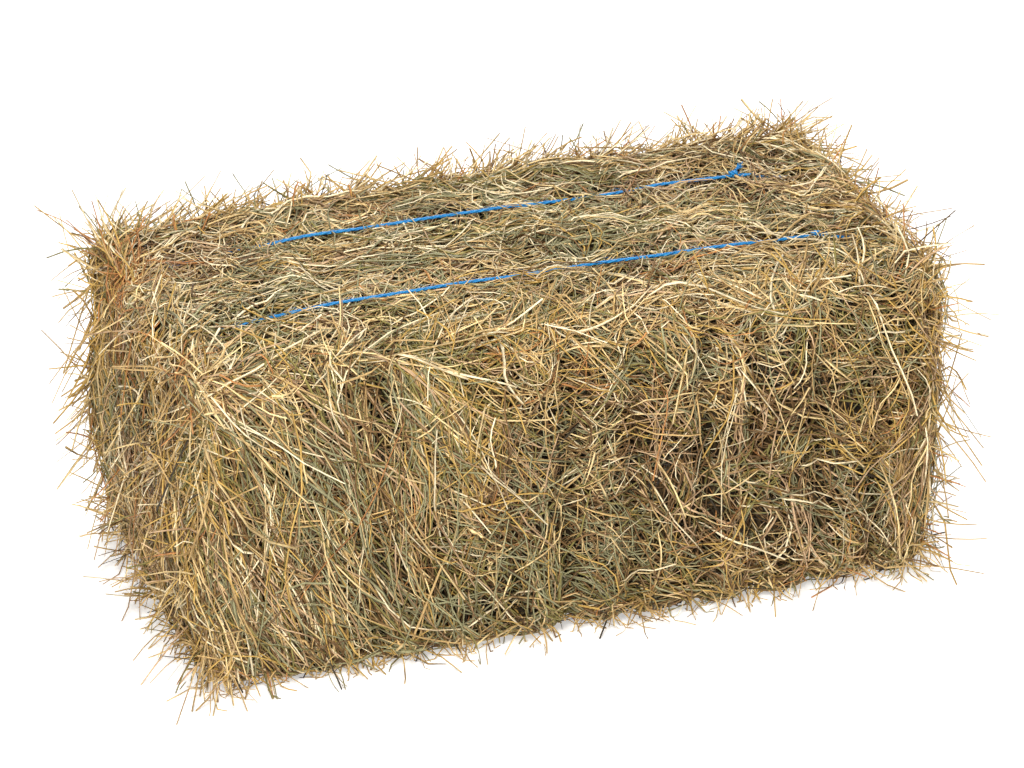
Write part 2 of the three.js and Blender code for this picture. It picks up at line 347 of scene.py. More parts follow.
def flow(p, n):
    """The main direction of the hay at p, in the surface, before its turn, and that turn."""
    ax, ay, az = n[:, 0] ** 2, n[:, 1] ** 2, n[:, 2] ** 2
    top = np.clip(n[:, 2], 0, 1) ** 2
    v = np.zeros_like(p)
    v[:, 2] = ay + ax                          # upright on the long faces and the ends
    v[:, 0] = top * 1.1                         # along the bale on top
    v[:, 0] += 0.8 * (az - top)                # and underneath
    v -= (v * n).sum(1, keepdims=True) * n
    v = unit(v + 1e-6)
    fl = flake_of(p[:, 0])
    front = smooth(-n[:, 1], 0.2, 0.9)
    back = smooth(n[:, 1], 0.2, 0.9)
    end = smooth(np.abs(n[:, 0]), 0.3, 0.9)
    turn = front * lean_front(p[:, 0], p[:, 2]) + back * LEAN_BACK[fl]
    # the left end: stems fan out from its far upper corner; the right end hangs
    fan = np.arctan2(p[:, 1] - 0.14, np.maximum(0.47 - p[:, 2], 0.03))
    turn = turn + end * np.where(n[:, 0] < 0, fan * 0.85, np.radians(14))
    # on top they lie a little across, and fan out over the left edge
    swing = np.radians(19) + np.radians(62) * smooth(-p[:, 0], 0.33, 0.45) - np.radians(42) * smooth(p[:, 0], 0.36, 0.45)
    turn = turn + top * swing
    loose = 1 - 0.72 * combed(p, n)
    turn = turn + loose * (np.radians(40) * noise(p, 0.085, 21) + np.radians(38) * noise(p, 0.036, 22))
    return v, turn


def rotate(v, n, a):
    c, s = np.cos(a)[:, None], np.sin(a)[:, None]
    return v * c + np.cross(n, v) * s


def scatter(count, weights):
    """Even random points on the plain rounded block; weights are for -X, +X, -Y, +Y, -Z, +Z."""
    area = np.array([HY * HZ, HY * HZ, HX * HZ, HX * HZ, HX * HY, HX * HY]) * np.array(weights)
    face = rng.choice(6, count, p=area / area.sum())
    a, b = rng.uniform(-1, 1, count), rng.uniform(-1, 1, count)
    p = np.zeros((count, 3))
    for k in range(6):
        w = face == k
        axis, sign = k // 2, (-1, 1)[k % 2]
        o = [i for i in range(3) if i != axis]
        p[w, axis] = sign * HALF[axis] * 1.001
        p[w, o[0]] = a[w] * HALF[o[0]]
        p[w, o[1]] = b[w] * HALF[o[1]]
    return skin(p + MID)


def walk(p, n, d, length, cuts, curl, kink):
    """Steps over the surface from p along d, stopping at these shares of the length.
    Returns places and outward directions, (stems, points, 3)."""
    P, N = [p], [n]
    for k in range(len(cuts) - 1):
        share = cuts[k + 1] - cuts[k]
        d = rotate(d, n, curl * share + kink[:, k] * min(1.0, share * 4))
        q = p + d * (length * share)[:, None]
        p2, n2 = skin(q)
        d = p2 - p
        d = unit(d - (d * n2).sum(1, keepdims=True) * n2)
        p, n = p2, n2
        P.append(p)
        N.append(n)
    return np.stack(P, 1), np.stack(N, 1)


def frames(C, N):
    """A direction across each stem, in the surface, and one out of it."""
    T = np.empty_like(C)
    T[:, 1:-1] = C[:, 2:] - C[:, :-2]
    T[:, 0] = C[:, 1] - C[:, 0]
    T[:, -1] = C[:, -1] - C[:, -2]
    T = unit(T)
    S = np.cross(T, N)
    bad = np.linalg.norm(S, axis=-1) < 0.05
    if bad.any():
        S[bad] = np.cross(T[bad], np.array([0.3, 0.5, 0.81]))
    S = unit(S)
    return S, np.cross(S, T)


def keep_in(C, root=0):
    """Draws a stem back towards its root where it would stand too far out of the CAD box, and lifts it off the ground."""
    lo = np.array(cad_lo) - OVER
    hi = np.array(cad_hi) + OVER
    lo[2] = 0.0009
    r = C[:, root:root + 1]
    d = C - r
    for axis in range(3):
        top, bot = d[..., axis].max(1), d[..., axis].min(1)
        room_hi = np.maximum(hi[axis] - r[:, 0, axis], 1e-4)
        room_lo = np.maximum(r[:, 0, axis] - lo[axis], 1e-4)
        k = np.minimum(1, np.minimum(room_hi / np.maximum(top, 1e-9), room_lo / np.maximum(-bot, 1e-9)))
        if axis == 2:
            k = np.minimum(1, room_hi / np.maximum(top, 1e-9))
        d[..., axis] *= k[:, None]
    C = r + d
    C[..., 2] = np.maximum(C[..., 2], lo[2])
    return C


bins = [Bin() for _ in range(COUNT)]
tally = {}


def put(name, C, S, U, r_side, r_up, rows, u0, u1, owner, sides=3, spin=None):
    V, F, uv = tubes(C, S, U, r_side, r_up, rows, u0, u1, sides, spin)
    V[..., 2] = np.maximum(V[..., 2], 0.0004)
    per = V.shape[1]
    base = F - (np.arange(len(C)) * per)[:, None, None]
    tally[name] = tally.get(name, 0) + len(C) * F.shape[1]
    for i in range(COUNT):
        w = np.flatnonzero(owner == i)
        if len(w):
            f = base[w] + (np.arange(len(w)) * per)[:, None, None]
            bins[i].add(V[w].reshape(-1, 3), f.reshape(-1, 3), uv[w].reshape(-1, 2), 0)


# chance of each kind of stem in different places, in the order of KIND_NAMES
#                     cream straw tan  gold  pink  rust sage olive brown dark
MIX_FRONT = np.array([.12, .20, .20, .08, .12, .02, .15, .06, .05, .00])
MIX_TOP = np.array([.23, .24, .13, .02, .06, .01, .26, .04, .01, .00])
MIX_END = np.array([.10, .18, .25, .18, .09, .03, .07, .05, .05, .00])
# the lowest layer's mix: greener and browner hay of its own, and the dark kind as painted shade
MIX_UNDER = np.array([.00, .01, .06, .03, .02, .02, .13, .15, .23, .35])


def choose_kinds(p, n, level):
    """The kind of each stem: by place, by patch and by chance. level is 0 for the lowest layer and 1 for the top."""
    top = smooth(n[:, 2], 0.3, 0.9)[:, None]
    end = smooth(np.abs(n[:, 0]), 0.3, 0.9)[:, None]
    mix = MIX_TOP * top + MIX_END * end + MIX_FRONT * (1 - np.clip(top + end, 0, 1))
    # painted shade: darker kinds between the flakes and along the ground
    seam = np.min(np.abs(p[:, 0:1] - np.asarray(SEAMS)[None] - 0.006 * noise(p, 0.05, 46)[:, None]), axis=1)
    upright = smooth(np.abs(n[:, 1]), 0.5, 0.9) * smooth(-p[:, 2], -0.39, -0.33)
    level = level - 0.5 * upright * np.exp(-(seam / 0.009) ** 2) - 0.45 * smooth(-p[:, 2], -0.055, -0.012)
    level = np.clip(level, 0, 1)
    # the lower the level, the more of the lowest layer's mix: greener as the hay's own, darker as painted shade
    mix = MIX_UNDER * (1 - level)[:, None] + mix * level[:, None]
    green = noise(p, 0.07, 41) + 0.6 * noise(p, 0.03, 42)
    warm = noise(p, 0.09, 43) + 0.6 * noise(p, 0.04, 44)
    _, a, b = tuft(p, 0.028, 45)
    gain = np.ones_like(mix)
    leanings = {"sage": 1.6 * green + 1.4 * (a - 0.5), "olive": 1.3 * green + 1.2 * (b - 0.5), "pink": 1.3 * warm - 0.8 * green,
                "rust": 1.3 * warm - 0.8 * green, "brown": 1.2 * warm - 1.4 * (a - 0.5), "gold": -1.1 * warm + 1.4 * (b - 0.5),
                "cream": 0.9 * (a + b - 1)}
    for kind, power in leanings.items():
        gain[:, KIND_NAMES.index(kind)] *= np.exp(power)
    for (x, y, z, size, kinds) in PATCHES:
        near = np.exp(-(((p - (x, y, z)) / size) ** 2).sum(1))
        for kind, strength in kinds.items():
            gain[:, KIND_NAMES.index(kind)] *= np.exp(strength * near)
    mix = mix * gain
    mix /= mix.sum(1, keepdims=True)
    return (rng.random(len(p))[:, None] > mix.cumsum(1)).sum(1).clip(0, len(KIND_NAMES) - 1)


def rows_of(kinds):
    return (KIND_LO[kinds] + np.floor(rng.random(len(kinds)) * (KIND_HI[kinds] - KIND_LO[kinds]))).astype(int)


# patches of one tone, (place, size, what there is more of)
PATCHES = [
    (-0.44, 0.11, 0.385, (0.055, 0.06, 0.07), {"rust": 5.2, "gold": 1.9, "brown": 0.6, "sage": -2.5, "cream": -0.4}),
    (-0.42, -0.20, 0.30, (0.06, 0.06, 0.06), {"gold": 1.4, "olive": 1.5}),
    (-0.10, -0.23, 0.33, (0.035, 0.05, 0.06), {"olive": 1.6, "gold": 1.2}),
    (0.08, -0.23, 0.33, (0.035, 0.05, 0.05), {"olive": 1.3, "gold": 1.2}),
    (0.36, -0.23, 0.31, (0.05, 0.06, 0.08), {"olive": 1.5, "gold": 1.6}),
    (0.44, -0.20, 0.28, (0.05, 0.06, 0.15), {"gold": 1.2, "tan": 0.8}),
    (-0.33, -0.23, 0.16, (0.05, 0.06, 0.10), {"sage": 1.2, "cream": 0.5}),
    (-0.22, -0.23, 0.12, (0.05, 0.06, 0.08), {"sage": 1.3}),
    (-0.20, -0.23, 0.30, (0.07, 0.06, 0.06), {"pink": 1.1, "sage": -0.8}),
    (-0.28, -0.23, 0.20, (0.15, 0.06, 0.15), {"cream": -0.35, "straw": -0.3, "sage": 0.5, "olive": 0.4, "brown": 0.8}),
    (0.02, -0.23, 0.15, (0.05, 0.06, 0.08), {"sage": 1.0}),
    (-0.38, 0.02, 0.41, (0.07, 0.09, 0.05), {"cream": 0.5, "pink": 0.5, "tan": 0.5}),
    (0.20, 0.00, 0.41, (0.12, 0.06, 0.05), {"sage": 0.8}),
]


def finish(name, C, N, width, flatness, kinds, owner, cuts, twist=0.35, blunt=True):
    """Gives stems along C their thickness, kind and place on the map, and files them with their flake."""
    count = len(C)
    s = np.asarray(cuts)
    S, U = frames(C, N)
    r = width / 2
    taper = 1 - rng.uniform(0.05, 0.45, count)[:, None] * s[None] ** 2
    r_side = r[:, None] * taper
    leaf = rng.random(count) < 0.10
    flat = np.where(leaf, rng.uniform(0.14, 0.25, count), rng.uniform(*flatness, count))
    r_side = r_side * np.where(leaf, 1.5, 1.0)[:, None]
    r_up = r_side * flat[:, None]
    roll = rng.uniform(-0.9, 0.9, (count, 1)) + np.where(leaf, 2.2, twist)[:, None] * rng.normal(0, 1, (count, 1)) * s[None]
    S2 = S * np.cos(roll)[..., None] + U * np.sin(roll)[..., None]
    U2 = U * np.cos(roll)[..., None] - S * np.sin(roll)[..., None]
    u0 = rng.uniform(0.0, 0.55, count)
    u1 = u0 + rng.uniform(0.25, 0.44, count)
    put(name, C, S2, U2, r_side, r_up, rows_of(kinds), u0, u1, owner)


def layer(name, tufts, per, weights, level, length, height, width, cuts, curl=0.5, kink=0.12, wild=0.2, spread=0.005,
          stray=0.14, flatness=(0.45, 1.0), dive=0.006, bridge=0.05, wavy=0.2, only=None):
    """One layer of stems lying on the bale in tufts of this many. length, height and width are (low, high) in metres."""
    p, n = scatter(tufts, weights)
    if only is not None:
        w = only(p, n)
        p, n = p[w], n[w]
        tufts = len(p)
    v, turn = flow(p, n)
    order = combed(p, n)
    far = np.where(rng.random(tufts) < wild * (1.15 - order), np.radians(60), np.radians(6) + np.radians(20) * (1 - order))
    turn = turn + rng.normal(0, 1, tufts) * far + np.where(rng.random(tufts) < 0.5, np.pi, 0)
    td = rotate(v, n, turn)
    tl = rng.uniform(*length, tufts) * (0.8 + 0.55 * order)
    tc = rng.normal(0, curl, tufts) * (1.35 - 0.9 * order) * (1 + 0.9 * smooth(n[:, 2], 0.4, 0.9))
    th = rng.uniform(*height, tufts) + 0.003 * noise(p, 0.03, 62)
    lv = level + (th - sum(height) / 2) * 75 * (level < 0.8)      # the deeper a tuft lies, the greener it is, and the darker as painted shade
    tk = choose_kinds(p, n, lv + rng.normal(0, 0.12, tufts))
    fan = rng.normal(0, 9.0, tufts) * (1.2 - 0.6 * order)
    press_t = rng.random(tufts) >= bridge

    i = np.repeat(np.arange(tufts), per)
    count = len(i)
    across = rng.normal(0, spread, count)
    ln = tl[i] * rng.uniform(0.6, 1.25, count)
    along = rng.uniform(-0.4, 0.4, count) * tl[i] - ln / 2
    out = rng.random(count) < stray * (1.4 - order[i])
    base = td[i]
    side = np.cross(base, n[i])
    start, sn = skin(p[i] + side * across[:, None] + base * along[:, None])
    d = unit(base - (base * sn).sum(1, keepdims=True) * sn)
    a = rng.normal(0, 1, count) * np.where(out, np.radians(48), np.radians(5.5) + np.radians(7) * (1 - order[i])) + fan[i] * across
    d = rotate(d, sn, a)
    m = len(cuts)
    bend = tc[i] + rng.normal(0, curl * 0.45, count)
    jag = rng.normal(0, kink, (count, m - 1))
    phase = rng.uniform(0, 2 * np.pi, tufts)[i] + rng.normal(0, 0.6, count)
    pace = rng.uniform(4.0, 8.5, count)
    jag += wavy * rng.uniform(0.3, 1.5, count)[:, None] * np.cos(phase[:, None] + pace[:, None] * np.asarray(cuts[:-1]))
    sharp = rng.random(count) < 0.16 * (1.4 - order[i])
    jag[np.arange(count), rng.integers(1, m - 1, count)] += np.where(sharp, rng.normal(0, 0.9, count), 0)
    P, N = walk(start, sn, d, ln, cuts, bend, jag)
    s = np.asarray(cuts)
    h = (th[i] + rng.normal(0, 0.0014, count))[:, None] + rng.uniform(-0.6, 1.5, count)[:, None] * 0.002 * np.sin(np.pi * s)
    first = np.where(rng.random(count) < 0.8, -dive, 0)
    final = np.where(rng.random(count) < 0.6, -dive, rng.uniform(-0.001, 0.006, count))
    h = h + first[:, None] * (1 - s) ** 2.5 + final[:, None] * s ** 2.5
    h = h + 0.0009 * np.sin(rng.uniform(0, 2 * np.pi, (count, 1)) + s * rng.uniform(4, 11, (count, 1)))
    # under the twines the stems are pressed down, but for the few that lie over them
    over = np.where(p[i][:, 1] < 0, 0.25, 1.0)      # fewer lie over the nearer twine
    press = np.where((press_t[i] | (over < 1)) & (rng.random(count) > bridge * 0.5 * over), 1.0, 0.0)
    near = np.min([np.abs(P[..., 1] - y) for y in TWINES.values()], axis=0)
    near = near - 0.0025 * (P[..., 1] < 0)
    shown = twine_shows(P[..., 0], P[..., 1]) * smooth(N[..., 2], 0.7, 0.9) * press[:, None]
    held = 1 - (1 - smooth(near, 0.004, 0.016)) * shown
    h = np.where(h > -0.0025, -0.0025 + (h + 0.0025) * held, h)
    h = np.where(N[..., 2] < -0.6, np.minimum(h + 0.007 * smooth(-N[..., 2], 0.6, 0.95), 0.0), h)
    C = form(P, N, h, press[:, None])
    C = keep_in(C, m // 2)
    kinds = np.where(rng.random(count) < 0.5, tk[i], choose_kinds(P[:, m // 2], N[:, m // 2], lv[i] + rng.normal(0, 0.15, count)))
    # the dark kind is painted shade, kept only for stems that lie deep
    kinds = np.where((kinds == KIND_NAMES.index("dark")) & (th[i] > -0.0065), KIND_NAMES.index("brown"), kinds)
    w = rng.uniform(*width, count)
    finish(name, C, N, w, flatness, kinds, flake_of(P[:, m // 2, 0]), cuts)


def above_ground(p, n):
    return (n[:, 2] > -0.6) | (rng.random(len(p)) < 0.4)


ALL = (0.9, 0.75, 1.05, 0.75, 0.25, 1.05)
BLUNT5 = (0, 0.32, 0.66, 0.985, 1)
BLUNT6 = (0, 0.25, 0.5, 0.75, 0.987, 1)
BLUNT7 = (0, 0.2, 0.4, 0.6, 0.8, 0.99, 1)
BLUNT8 = (0, 0.16, 0.32, 0.49, 0.66, 0.83, 0.99, 1)
# each layer's level, after its weights, sets how much of the lowest layer's mix it takes: the lower layers darker as
# painted shade
layer("under", 1300, 6, ALL, 0.0, (0.045, 0.085), (-0.0170, -0.0110), (0.0020, 0.0040), (0, 0.5, 0.99, 1), curl=0.6, wild=0.3, spread=0.008)
layer("main", 1560, 8, ALL, 0.42, (0.06, 0.115), (-0.0115, -0.0025), (0.0014, 0.0027), BLUNT6, curl=0.9, kink=0.12, wild=0.14, stray=0.07, wavy=0.32,
      only=lambda p, n: rng.random(len(p)) < np.where(n[:, 1] < -0.8, np.where(p[:, 0] < -0.12, 0.56, 0.85), np.where(n[:, 0] < -0.8, 0.78, 1.0)))
layer("upper", 960, 9, ALL, 0.85, (0.075, 0.15), (-0.0035, 0.0020), (0.0014, 0.0028), BLUNT8, curl=1.0, kink=0.12, wild=0.14, stray=0.07, dive=0.007,
      wavy=0.40, only=lambda p, n: (n[:, 1] > -0.8) | (p[:, 0] > -0.12) | (rng.random(len(p)) < 0.5))
layer("drape", 430, 6, (0.0, 0.0, 1.0, 0.0, 0.0, 0.0), 0.95, (0.11, 0.22), (-0.003, 0.003), (0.0017, 0.0032), BLUNT8, curl=0.5, kink=0.12, wild=0.0,
      spread=0.007, stray=0.05, dive=0.008, wavy=0.28, only=lambda p, n: (n[:, 1] < -0.8) & (p[:, 0] < rng.normal(-0.15, 0.08, len(p))) & (p[:, 2] < 0.37))
layer("curly", 760, 2, (1.0, 0.6, 1.0, 0.6, 0.0, 1.8), 0.98, (0.045, 0.09), (-0.002, 0.0035), (0.0010, 0.0017), BLUNT8, curl=2.4, kink=0.2, wild=0.6,
      dive=0.005, wavy=0.3)
layer("long", 420, 1, (0.8, 0.8, 0.7, 0.8, 0.0, 1.1), 1.2, (0.10, 0.18), (0.001, 0.004), (0.0016, 0.0028), BLUNT8, curl=0.5, kink=0.05, wild=0.4,
      dive=0.008, wavy=0.15)


def spray(name, count, weights, length, out, width, cuts, level=0.8, droop=0.25, edge=None, along=0.55):
    """Stems that leave the surface and end in the air."""
    p, n = scatter(count, weights)
    if edge is not None:
        w = edge(p, n)
        p, n = p[w], n[w]
        count = len(p)
    v, turn = flow(p, n)
    # along the top they point up the bale more often than down it
    turn = turn + rng.normal(0, np.radians(30), count) + np.where(rng.random(count) < 0.5 - 0.32 * smooth(n[:, 2], 0.1, 0.5), np.pi, 0)
    d = rotate(v, n, turn)
    lift = rng.uniform(*out, count)
    d = unit(d * (1 - lift * along)[:, None] + n * lift[:, None])
    ln = length[0] + (length[1] - length[0]) * rng.random(count) ** 1.7
    s = np.asarray(cuts)
    bend = unit(rng.normal(0, 1, (count, 3))) * rng.uniform(0.10, 0.65, count)[:, None]
    sag = np.array([0, 0, -1.0]) * rng.uniform(0, droop, count)[:, None]
    start = form(p, n, np.full(count, -0.008), 1.0)
    C = start[:, None] + d[:, None] * (ln[:, None] * s)[..., None] + (bend + sag)[:, None] * (ln[:, None] * s ** 2)[..., None]
    kinked = rng.random(count) < 0.4
    at = rng.uniform(0.35, 0.75, count)
    turned = rng.normal(0, 0.5, (count, 3))
    C = C + np.where(kinked[:, None], np.maximum(s[None] - at[:, None], 0) * ln[:, None], 0)[..., None] * turned[:, None]
    C = keep_in(C, 0)
    N = np.repeat(n[:, None], len(s), 1)
    kinds = choose_kinds(p, n, np.full(count, level))
    kinds = np.where((kinds >= KIND_NAMES.index("sage")) & (rng.random(count) < 0.8), rng.choice([1, 2, 2, 3], count), kinds)
    finish(name, C, N, rng.uniform(*width, count), (0.5, 1.0), kinds, flake_of(p[:, 0]), cuts)


# short ends all over the faces, the fluffy ends, the ragged edges and the fringe along the ground
spray("fuzz", 500, (1.0, 0.8, 1.0, 0.8, 0.0, 0.8), (0.025, 0.055), (0.15, 0.5), (0.0013, 0.0024), BLUNT6)
spray("ends", 620, (1.0, 0.8, 0.0, 0.0, 0.0, 0.0), (0.035, 0.10), (0.15, 0.6), (0.0015, 0.0027), BLUNT7, droop=0.5)
spray("edges", 10000, (1.0, 0.8, 1.0, 0.8, 0.0, 1.0), (0.035, 0.10), (0.10, 0.60), (0.0016, 0.0030), BLUNT6,
      edge=lambda p, n: (np.sort(np.abs(n), 1)[:, 1] > 0.35) & (rng.random(len(p)) < 0.85) & (n[:, 2] > -0.3))
spray("ridge", 13000, (0.0, 0.0, 0.0, 0.3, 0.0, 1.0), (0.035, 0.075), (0.22, 0.62), (0.0016, 0.0028), BLUNT6, level=1.0, droop=0.1,
      edge=lambda p, n: (p[:, 1] > HY - 0.045) & (p[:, 2] > HEIGHT - 0.05) & (rng.random(len(p)) < 0.6))
# the skirt takes darker kinds (level 0.35) as painted shade along the bottom edge
spray("skirt", 9500, (1.2, 1.2, 1.1, 1.1, 0.0, 0.0), (0.03, 0.055), (0.0, 0.25), (0.0018, 0.0034), BLUNT5, level=0.35, droop=1.0,
      edge=lambda p, n: (p[:, 2] < 0.034) & (rng.random(len(p)) < 0.9))
spray("fringe", 7000, (1.2, 1.0, 1.1, 0.8, 0.0, 0.0), (0.03, 0.065), (0.08, 0.5), (0.0014, 0.0026), BLUNT6, level=0.6, droop=0.7,
      edge=lambda p, n: (p[:, 2] < 0.045) & (rng.random(len(p)) < 0.9))


# ------------------------------------------------------------------ the stems that catch the eye, placed one by one, mm
STRAWS = [
    [(-455, -93, 300), (-441, -227, 383), (-399, -227, 403), (-343, -199, 405), (-280, -175, 405)],
    [(-421, -227, 349), (-378, -227, 312), (-355, -227, 282), (-317, -227, 238)], [(-346, -227, 380), (-330, -227, 338), (-318, -227, 262)],
    [(-454, -227, 339), (-433, -227, 296), (-398, -227, 241), (-373, -227, 202), (-331, -227, 183)],
    [(-455, -160, 261), (-455, -192, 223), (-455, -195, 166), (-450, -227, 126), (-444, -227, 51)],
    [(-455, -200, 209), (-448, -227, 164), (-428, -227, 134), (-414, -227, 78), (-402, -227, 25)],
    [(-414, -227, 244), (-411, -227, 174), (-402, -227, 114), (-382, -227, 60), (-374, -227, 12)],
    [(-397, -227, 206), (-368, -227, 172), (-324, -227, 143), (-302, -227, 122)],
    [(-303, -227, 236), (-296, -227, 162), (-273, -227, 104), (-241, -227, 50)], [(-291, -227, 158), (-264, -227, 124), (-236, -227, 95)],
    [(-455, -197, 328), (-455, -162, 277), (-455, -113, 200), (-455, -113, 135), (-455, -85, 76)],
    [(-393, -227, 374), (-390, -227, 345), (-380, -227, 315)], [(-381, -227, 113), (-352, -227, 78), (-321, -227, 30)],
    [(-276, -195, 404), (-283, -227, 403), (-271, -227, 376)], [(-440, -162, 405), (-440, -227, 401), (-430, -227, 383), (-416, -227, 347)],
    [(-212, -222, 405), (-187, -227, 392), (-161, -227, 374), (-131, -227, 359)],
    [(-126, -227, 258), (-104, -227, 231), (-71, -227, 196), (-41, -227, 161)],
    [(-208, -227, 206), (-190, -227, 170), (-165, -227, 130), (-138, -227, 83)],
    [(48, -227, 259), (73, -227, 253), (110, -227, 245), (146, -227, 238)], [(47, -227, 67), (76, -227, 74), (113, -227, 83)],
    [(-14, -227, 397), (16, -227, 398), (46, -220, 405), (102, -182, 405)], [(60, -227, 394), (77, -227, 366), (102, -227, 338), (118, -227, 326)],
    [(-197, -227, 291), (-175, -227, 304), (-153, -227, 318), (-129, -227, 336)], [(-110, -227, 330), (-121, -227, 295), (-126, -227, 261)],
    [(-27, -194, 405), (-12, -227, 400), (16, -227, 361), (47, -227, 327), (67, -227, 295)], [(17, -227, 245), (10, -227, 223), (4, -227, 200)],
    [(90, -227, 215), (105, -227, 189), (123, -227, 142)], [(-135, -227, 172), (-110, -227, 153), (-91, -227, 140)],
    [(205, -138, 404), (261, -110, 405), (316, -79, 404), (360, -52, 405)],
    [(83, -186, 405), (123, -179, 404), (161, -193, 405), (197, -227, 403), (241, -227, 380)],
    [(348, -227, 398), (362, -227, 361), (377, -227, 310), (395, -227, 267), (407, -227, 222)],
    [(398, -227, 337), (370, -227, 335), (344, -227, 333)], [(126, -227, 360), (118, -227, 320), (108, -227, 260)],
    [(291, -227, 314), (311, -227, 294), (327, -227, 279)], [(367, -227, 166), (382, -227, 126), (394, -227, 80), (402, -227, 37)],
    [(420, -227, 92), (415, -227, 56), (406, -227, 30)], [(425, -227, 108), (427, -227, 169), (418, -227, 204)],
    [(349, -227, 206), (367, -227, 239), (385, -227, 276)], [(270, -227, 268), (259, -227, 231), (251, -227, 179)],
    [(186, -227, 321), (209, -227, 288), (236, -227, 245)], [(260, -227, 181), (292, -227, 177), (334, -227, 175)],
    [(236, -227, 145), (268, -227, 136), (307, -227, 117)], [(383, -119, 405), (352, -131, 405), (310, -131, 405), (248, -112, 405)],
    [(320, -138, 405), (343, -165, 404), (345, -225, 405)], [(51, 184, 405), (100, 183, 405), (158, 171, 405)],
    [(163, 116, 405), (219, 134, 405), (286, 141, 405)], [(-167, 157, 405), (-115, 166, 405), (-55, 163, 405)],
    [(191, 30, 405), (251, 54, 405), (309, 58, 405)], [(-24, 76, 404), (18, 23, 405), (57, -3, 405)],
    [(428, 84, 405), (382, 23, 405), (349, -11, 405)], [(-343, -134, 405), (-308, -186, 405), (-260, -211, 405)],
    [(-263, -220, 405), (-185, -225, 404), (-90, -214, 405), (-15, -197, 404)],
]
STRAYS = [
    ((-455, 134, 381), (-496, 162, 407)), ((-455, 212, 364), (-473, 228, 384)), ((-455, 183, 330), (-497, 202, 337)),
    ((-391, 169, 405), (-370, 186, 452)), ((-418, 152, 405), (-413, 166, 435)), ((-448, 124, 405), (-452, 137, 426)),
    ((-455, 210, 227), (-503, 224, 220)), ((-455, 227, 219), (-479, 242, 230)), ((-455, 227, 191), (-487, 223, 162)),
    ((-455, 211, 175), (-504, 208, 137)), ((-455, 147, 145), (-495, 162, 146)), ((-455, 166, 114), (-484, 150, 64)),
    ((-455, 103, 53), (-505, 120, 51)), ((-455, 112, 107), (-478, 102, 72)), ((-455, 140, 367), (-481, 152, 372)),
    ((-200, 166, 404), (-192, 194, 462)), ((-184, 179, 404), (-236, 217, 442)), ((-172, 187, 405), (-189, 202, 423)),
    ((345, 146, 405), (390, 160, 462)), ((332, 144, 405), (346, 161, 447)), ((407, 156, 405), (423, 166, 434)), ((424, 86, 404), (456, 92, 438)),
    ((423, 49, 405), (467, 45, 428)), ((415, -4, 405), (444, -13, 409)), ((421, -103, 405), (442, -96, 432)), ((437, -191, 405), (448, -177, 438)),
    ((425, -227, 391), (444, -223, 411)), ((438, -227, 371), (471, -240, 369)), ((442, -227, 345), (486, -252, 327)),
    ((440, -227, 320), (472, -246, 305)), ((443, -227, 264), (461, -252, 228)), ((442, -227, 207), (468, -245, 189)),
    ((444, -227, 168), (464, -240, 156)), ((442, -227, 132), (467, -240, 125)), ((436, -227, 98), (469, -240, 95)),
    ((433, -227, 66), (465, -248, 47)), ((413, -227, 30), (434, -247, 8)), ((369, -227, 23), (369, -241, -4)), ((133, -227, 30), (135, -237, 12)),
    ((-48, -227, 25), (-44, -242, 0)), ((-131, -227, 22), (-122, -242, -1)), ((-295, -227, 24), (-279, -249, -7)),
    ((-370, -227, 29), (-369, -242, 0)), ((-426, -227, 47), (-432, -239, 20)), ((-454, -227, 65), (-491, -233, 28)),
    ((-455, -124, 35), (-497, -121, 13)), ((-455, -61, 34), (-490, -52, 26)), ((-455, -19, 44), (-492, -9, 38)), ((-455, -72, 110), (-490, -64, 100)),
    ((297, 202, 405), (294, 215, 428)), ((158, 203, 405), (151, 213, 418)), ((205, 196, 405), (217, 200, 422)), ((-22, 189, 405), (-10, 195, 425)),
    ((-137, 174, 405), (-137, 184, 423)), ((-321, 162, 404), (-309, 168, 425)), ((-345, 158, 405), (-351, 171, 425)),
    ((254, 191, 405), (266, 196, 422)), ((80, 196, 405), (73, 205, 417)), ((16, 193, 405), (25, 197, 417)), ((414, -35, 405), (445, -30, 433)),
]


def along_curve(points, shares):
    """A smooth curve through these points, at these shares of it."""
    pts = np.asarray(points, float)
    pts = np.vstack([2 * pts[0] - pts[1], pts, 2 * pts[-1] - pts[-2]])
    t = np.clip(np.asarray(shares) * (len(points) - 1), 0, len(points) - 1 - 1e-6)
    k = t.astype(int)
    f = (t - k)[:, None]
    a, b, c, d = pts[k], pts[k + 1], pts[k + 2], pts[k + 3]
    return 0.5 * (2 * b + (c - a) * f + (2 * a - 5 * b + 4 * c - d) * f ** 2 + (3 * b - 3 * c + d - a) * f ** 3)


def laid_straws():
    shares = np.asarray(BLUNT8)
    C, N, width, kinds, owner = [], [], [], [], []
    for points in STRAWS:
        for copy in range(3 if len(points) > 3 else 2):
            p = along_curve(points, shares) / 1000
            main = copy == 0
            if not main:
                p = p + rng.normal(0, 0.005, 3) + np.outer(shares - 0.5, rng.normal(0, 0.008, 3))
            p, n = skin(p)
            top = 0.0055 if main else rng.uniform(0.000, 0.003)
            h = top - 0.004 * (1 - shares) ** 6 + (0.002 * shares ** 4 if main else -0.005 * shares ** 4)
            C.append(form(p, n, h, 0.0))
            N.append(n)
            width.append(rng.uniform(0.0023, 0.0033) if main else rng.uniform(0.0014, 0.0022))
            kinds.append(rng.choice(3, p=(0.55, 0.35, 0.10)) if main else rng.choice(4, p=(0.2, 0.35, 0.3, 0.15)))
            owner.append(p[len(p) // 2, 0])
    C = keep_in(np.array(C), len(shares) // 2)
    finish("straws", C, np.array(N), np.array(width), (0.6, 1.0), np.array(kinds), flake_of(np.array(owner)), shares)


